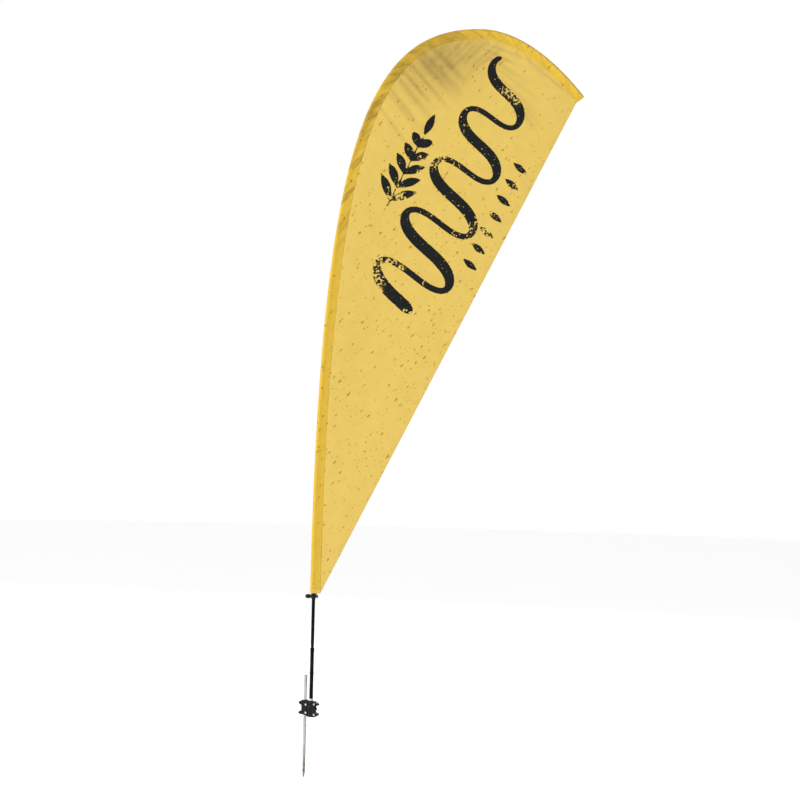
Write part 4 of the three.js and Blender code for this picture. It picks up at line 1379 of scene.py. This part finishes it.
class FLAG_OT_bracket(bpy.types.Operator):
    """Makes both moulded halves of the bracket"""

    bl_idname = "flag.bracket"
    bl_label = "Bracket"

    def execute(self, context):
        nylon = moulded_finish(context.scene.flag_settings)
        front = half_bracket(CAP_EDGE, 0.0, -1, False)
        solid_piece("bracket_front", front, nylon, "ground_stake",
                    ["bracket_cap"])
        back = half_bracket(BODY_EDGE, BODY_LIFT, 1, True)
        solid_piece("bracket_back", back, nylon, "ground_stake",
                    ["bracket_body"])
        return {"FINISHED"}


class FLAG_OT_fasteners(bpy.types.Operator):
    """Makes the bracket's bolts and nuts"""

    bl_idname = "flag.fasteners"
    bl_label = "Bolts and nuts"

    def execute(self, context):
        zinc = steel_finish("bright_zinc", (0.74, 0.74, 0.72), 0.26)
        for number, (u, z) in enumerate(BOLTS, start=1):
            solid_piece(f"bolt_{number}", bolt_shape(u, z), zinc, "ground_stake",
                        [f"bracket_bolt_{number}"])
            solid_piece(f"nut_{number}", nut_shape(u, z), zinc, "ground_stake",
                        [f"bracket_nut_{number}"])
        return {"FINISHED"}


class FLAG_OT_collar(bpy.types.Operator):
    """Makes the tension collar and the threaded insert in it"""

    bl_idname = "flag.collar"
    bl_label = "Tension collar"

    def execute(self, context):
        nylon = moulded_finish(context.scene.flag_settings)
        solid_piece("collar_ring", collar_shape(), nylon, "tension_collar",
                    ["tension_collar"])
        brass = plain_finish("insert_brass", (0.60, 0.42, 0.16), 0.3, 1.0)
        insert = turned([(2.3, 7.9), (3.0, 7.9), (3.0, 10.5), (2.3, 10.5)], 28, True)
        solid_piece("screw_insert", placed(insert, along_screw(-1)), brass, "tension_collar",
                    ["threaded_insert"])
        return {"FINISHED"}


class FLAG_OT_thumb_screw(bpy.types.Operator):
    """Makes the thumb screw's pad, shank and knob"""

    bl_idname = "flag.thumb_screw"
    bl_label = "Thumb screw"

    def execute(self, context):
        nylon = moulded_finish(context.scene.flag_settings)
        white = plain_finish("pad_nylon", (0.75, 0.75, 0.76), 0.45)
        pad = turned([(0, 5.5), (1.6, 5.5), (1.8, 5.7), (1.8, 6.7), (1.6, 6.9), (0, 6.9)], 24)
        solid_piece("screw_pad_disc", placed(pad, along_screw(-1)), white, "screw_pad",
                    ["screw_pad"])
        zinc = steel_finish("screw_zinc", (0.80, 0.80, 0.78), 0.28)
        shank = turned(thread_profile(7.25, 19.8, 2.0), 24)
        solid_piece("screw_shank", placed(shank, along_screw(-1)), zinc, "thumb_screw",
                    ["thumb_screw_shank"], 60)
        solid_piece("screw_knob", knob_shape(), nylon, "thumb_screw",
                    ["thumb_screw_knob"], 40)
        return {"FINISHED"}


class FLAG_OT_elastic(bpy.types.Operator):
    """Makes the elastic loop on the collar's peg, and the webbing that holds its ends"""

    bl_idname = "flag.elastic"
    bl_label = "Elastic loop"

    def execute(self, context):
        webbing = thread_finish(context.scene.flag_settings)
        solid_piece("loop_webbing", tab_shape(), webbing, "mast", ["loop_tab"])
        loop = solid_piece("elastic_loop", grid_shape(17, 141, loop_place), elastic_finish(),
                           None, ["tension_loop"], 80)
        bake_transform(loop)
        return {"FINISHED"}


class FLAG_PT_panel(bpy.types.Panel):
    """Lists the steps that build the flag"""

    bl_idname = "FLAG_PT_panel"
    bl_label = "Teardrop flag"
    bl_space_type = "VIEW_3D"
    bl_region_type = "UI"
    bl_category = "Flag"

    def draw(self, context):
        settings = context.scene.flag_settings
        for name in settings.bl_rna.properties.keys():
            if name not in ("rna_type", "name"):
                self.layout.prop(settings, name)
        for step in STEPS:
            self.layout.operator(step.bl_idname)


STEPS = (FLAG_OT_stage, FLAG_OT_sleeve, FLAG_OT_faces, FLAG_OT_pole, FLAG_OT_swivel,
         FLAG_OT_stake, FLAG_OT_bracket, FLAG_OT_fasteners, FLAG_OT_collar,
         FLAG_OT_thumb_screw, FLAG_OT_elastic)
CLASSES = (FlagSettings, *STEPS, FLAG_PT_panel)


def register():
    for cls in CLASSES:
        bpy.utils.register_class(cls)
    bpy.types.Scene.flag_settings = PointerProperty(type=FlagSettings)


def unregister():
    del bpy.types.Scene.flag_settings
    for cls in reversed(CLASSES):
        bpy.utils.unregister_class(cls)


def main():
    register()
    bpy.ops.flag.stage()
    bpy.ops.flag.sleeve()
    bpy.ops.flag.faces()
    bpy.ops.flag.pole()
    bpy.ops.flag.swivel()
    bpy.ops.flag.stake()
    bpy.ops.flag.bracket()
    bpy.ops.flag.fasteners()
    bpy.ops.flag.collar()
    bpy.ops.flag.thumb_screw()
    bpy.ops.flag.elastic()


if __name__ == "__main__":
    main()
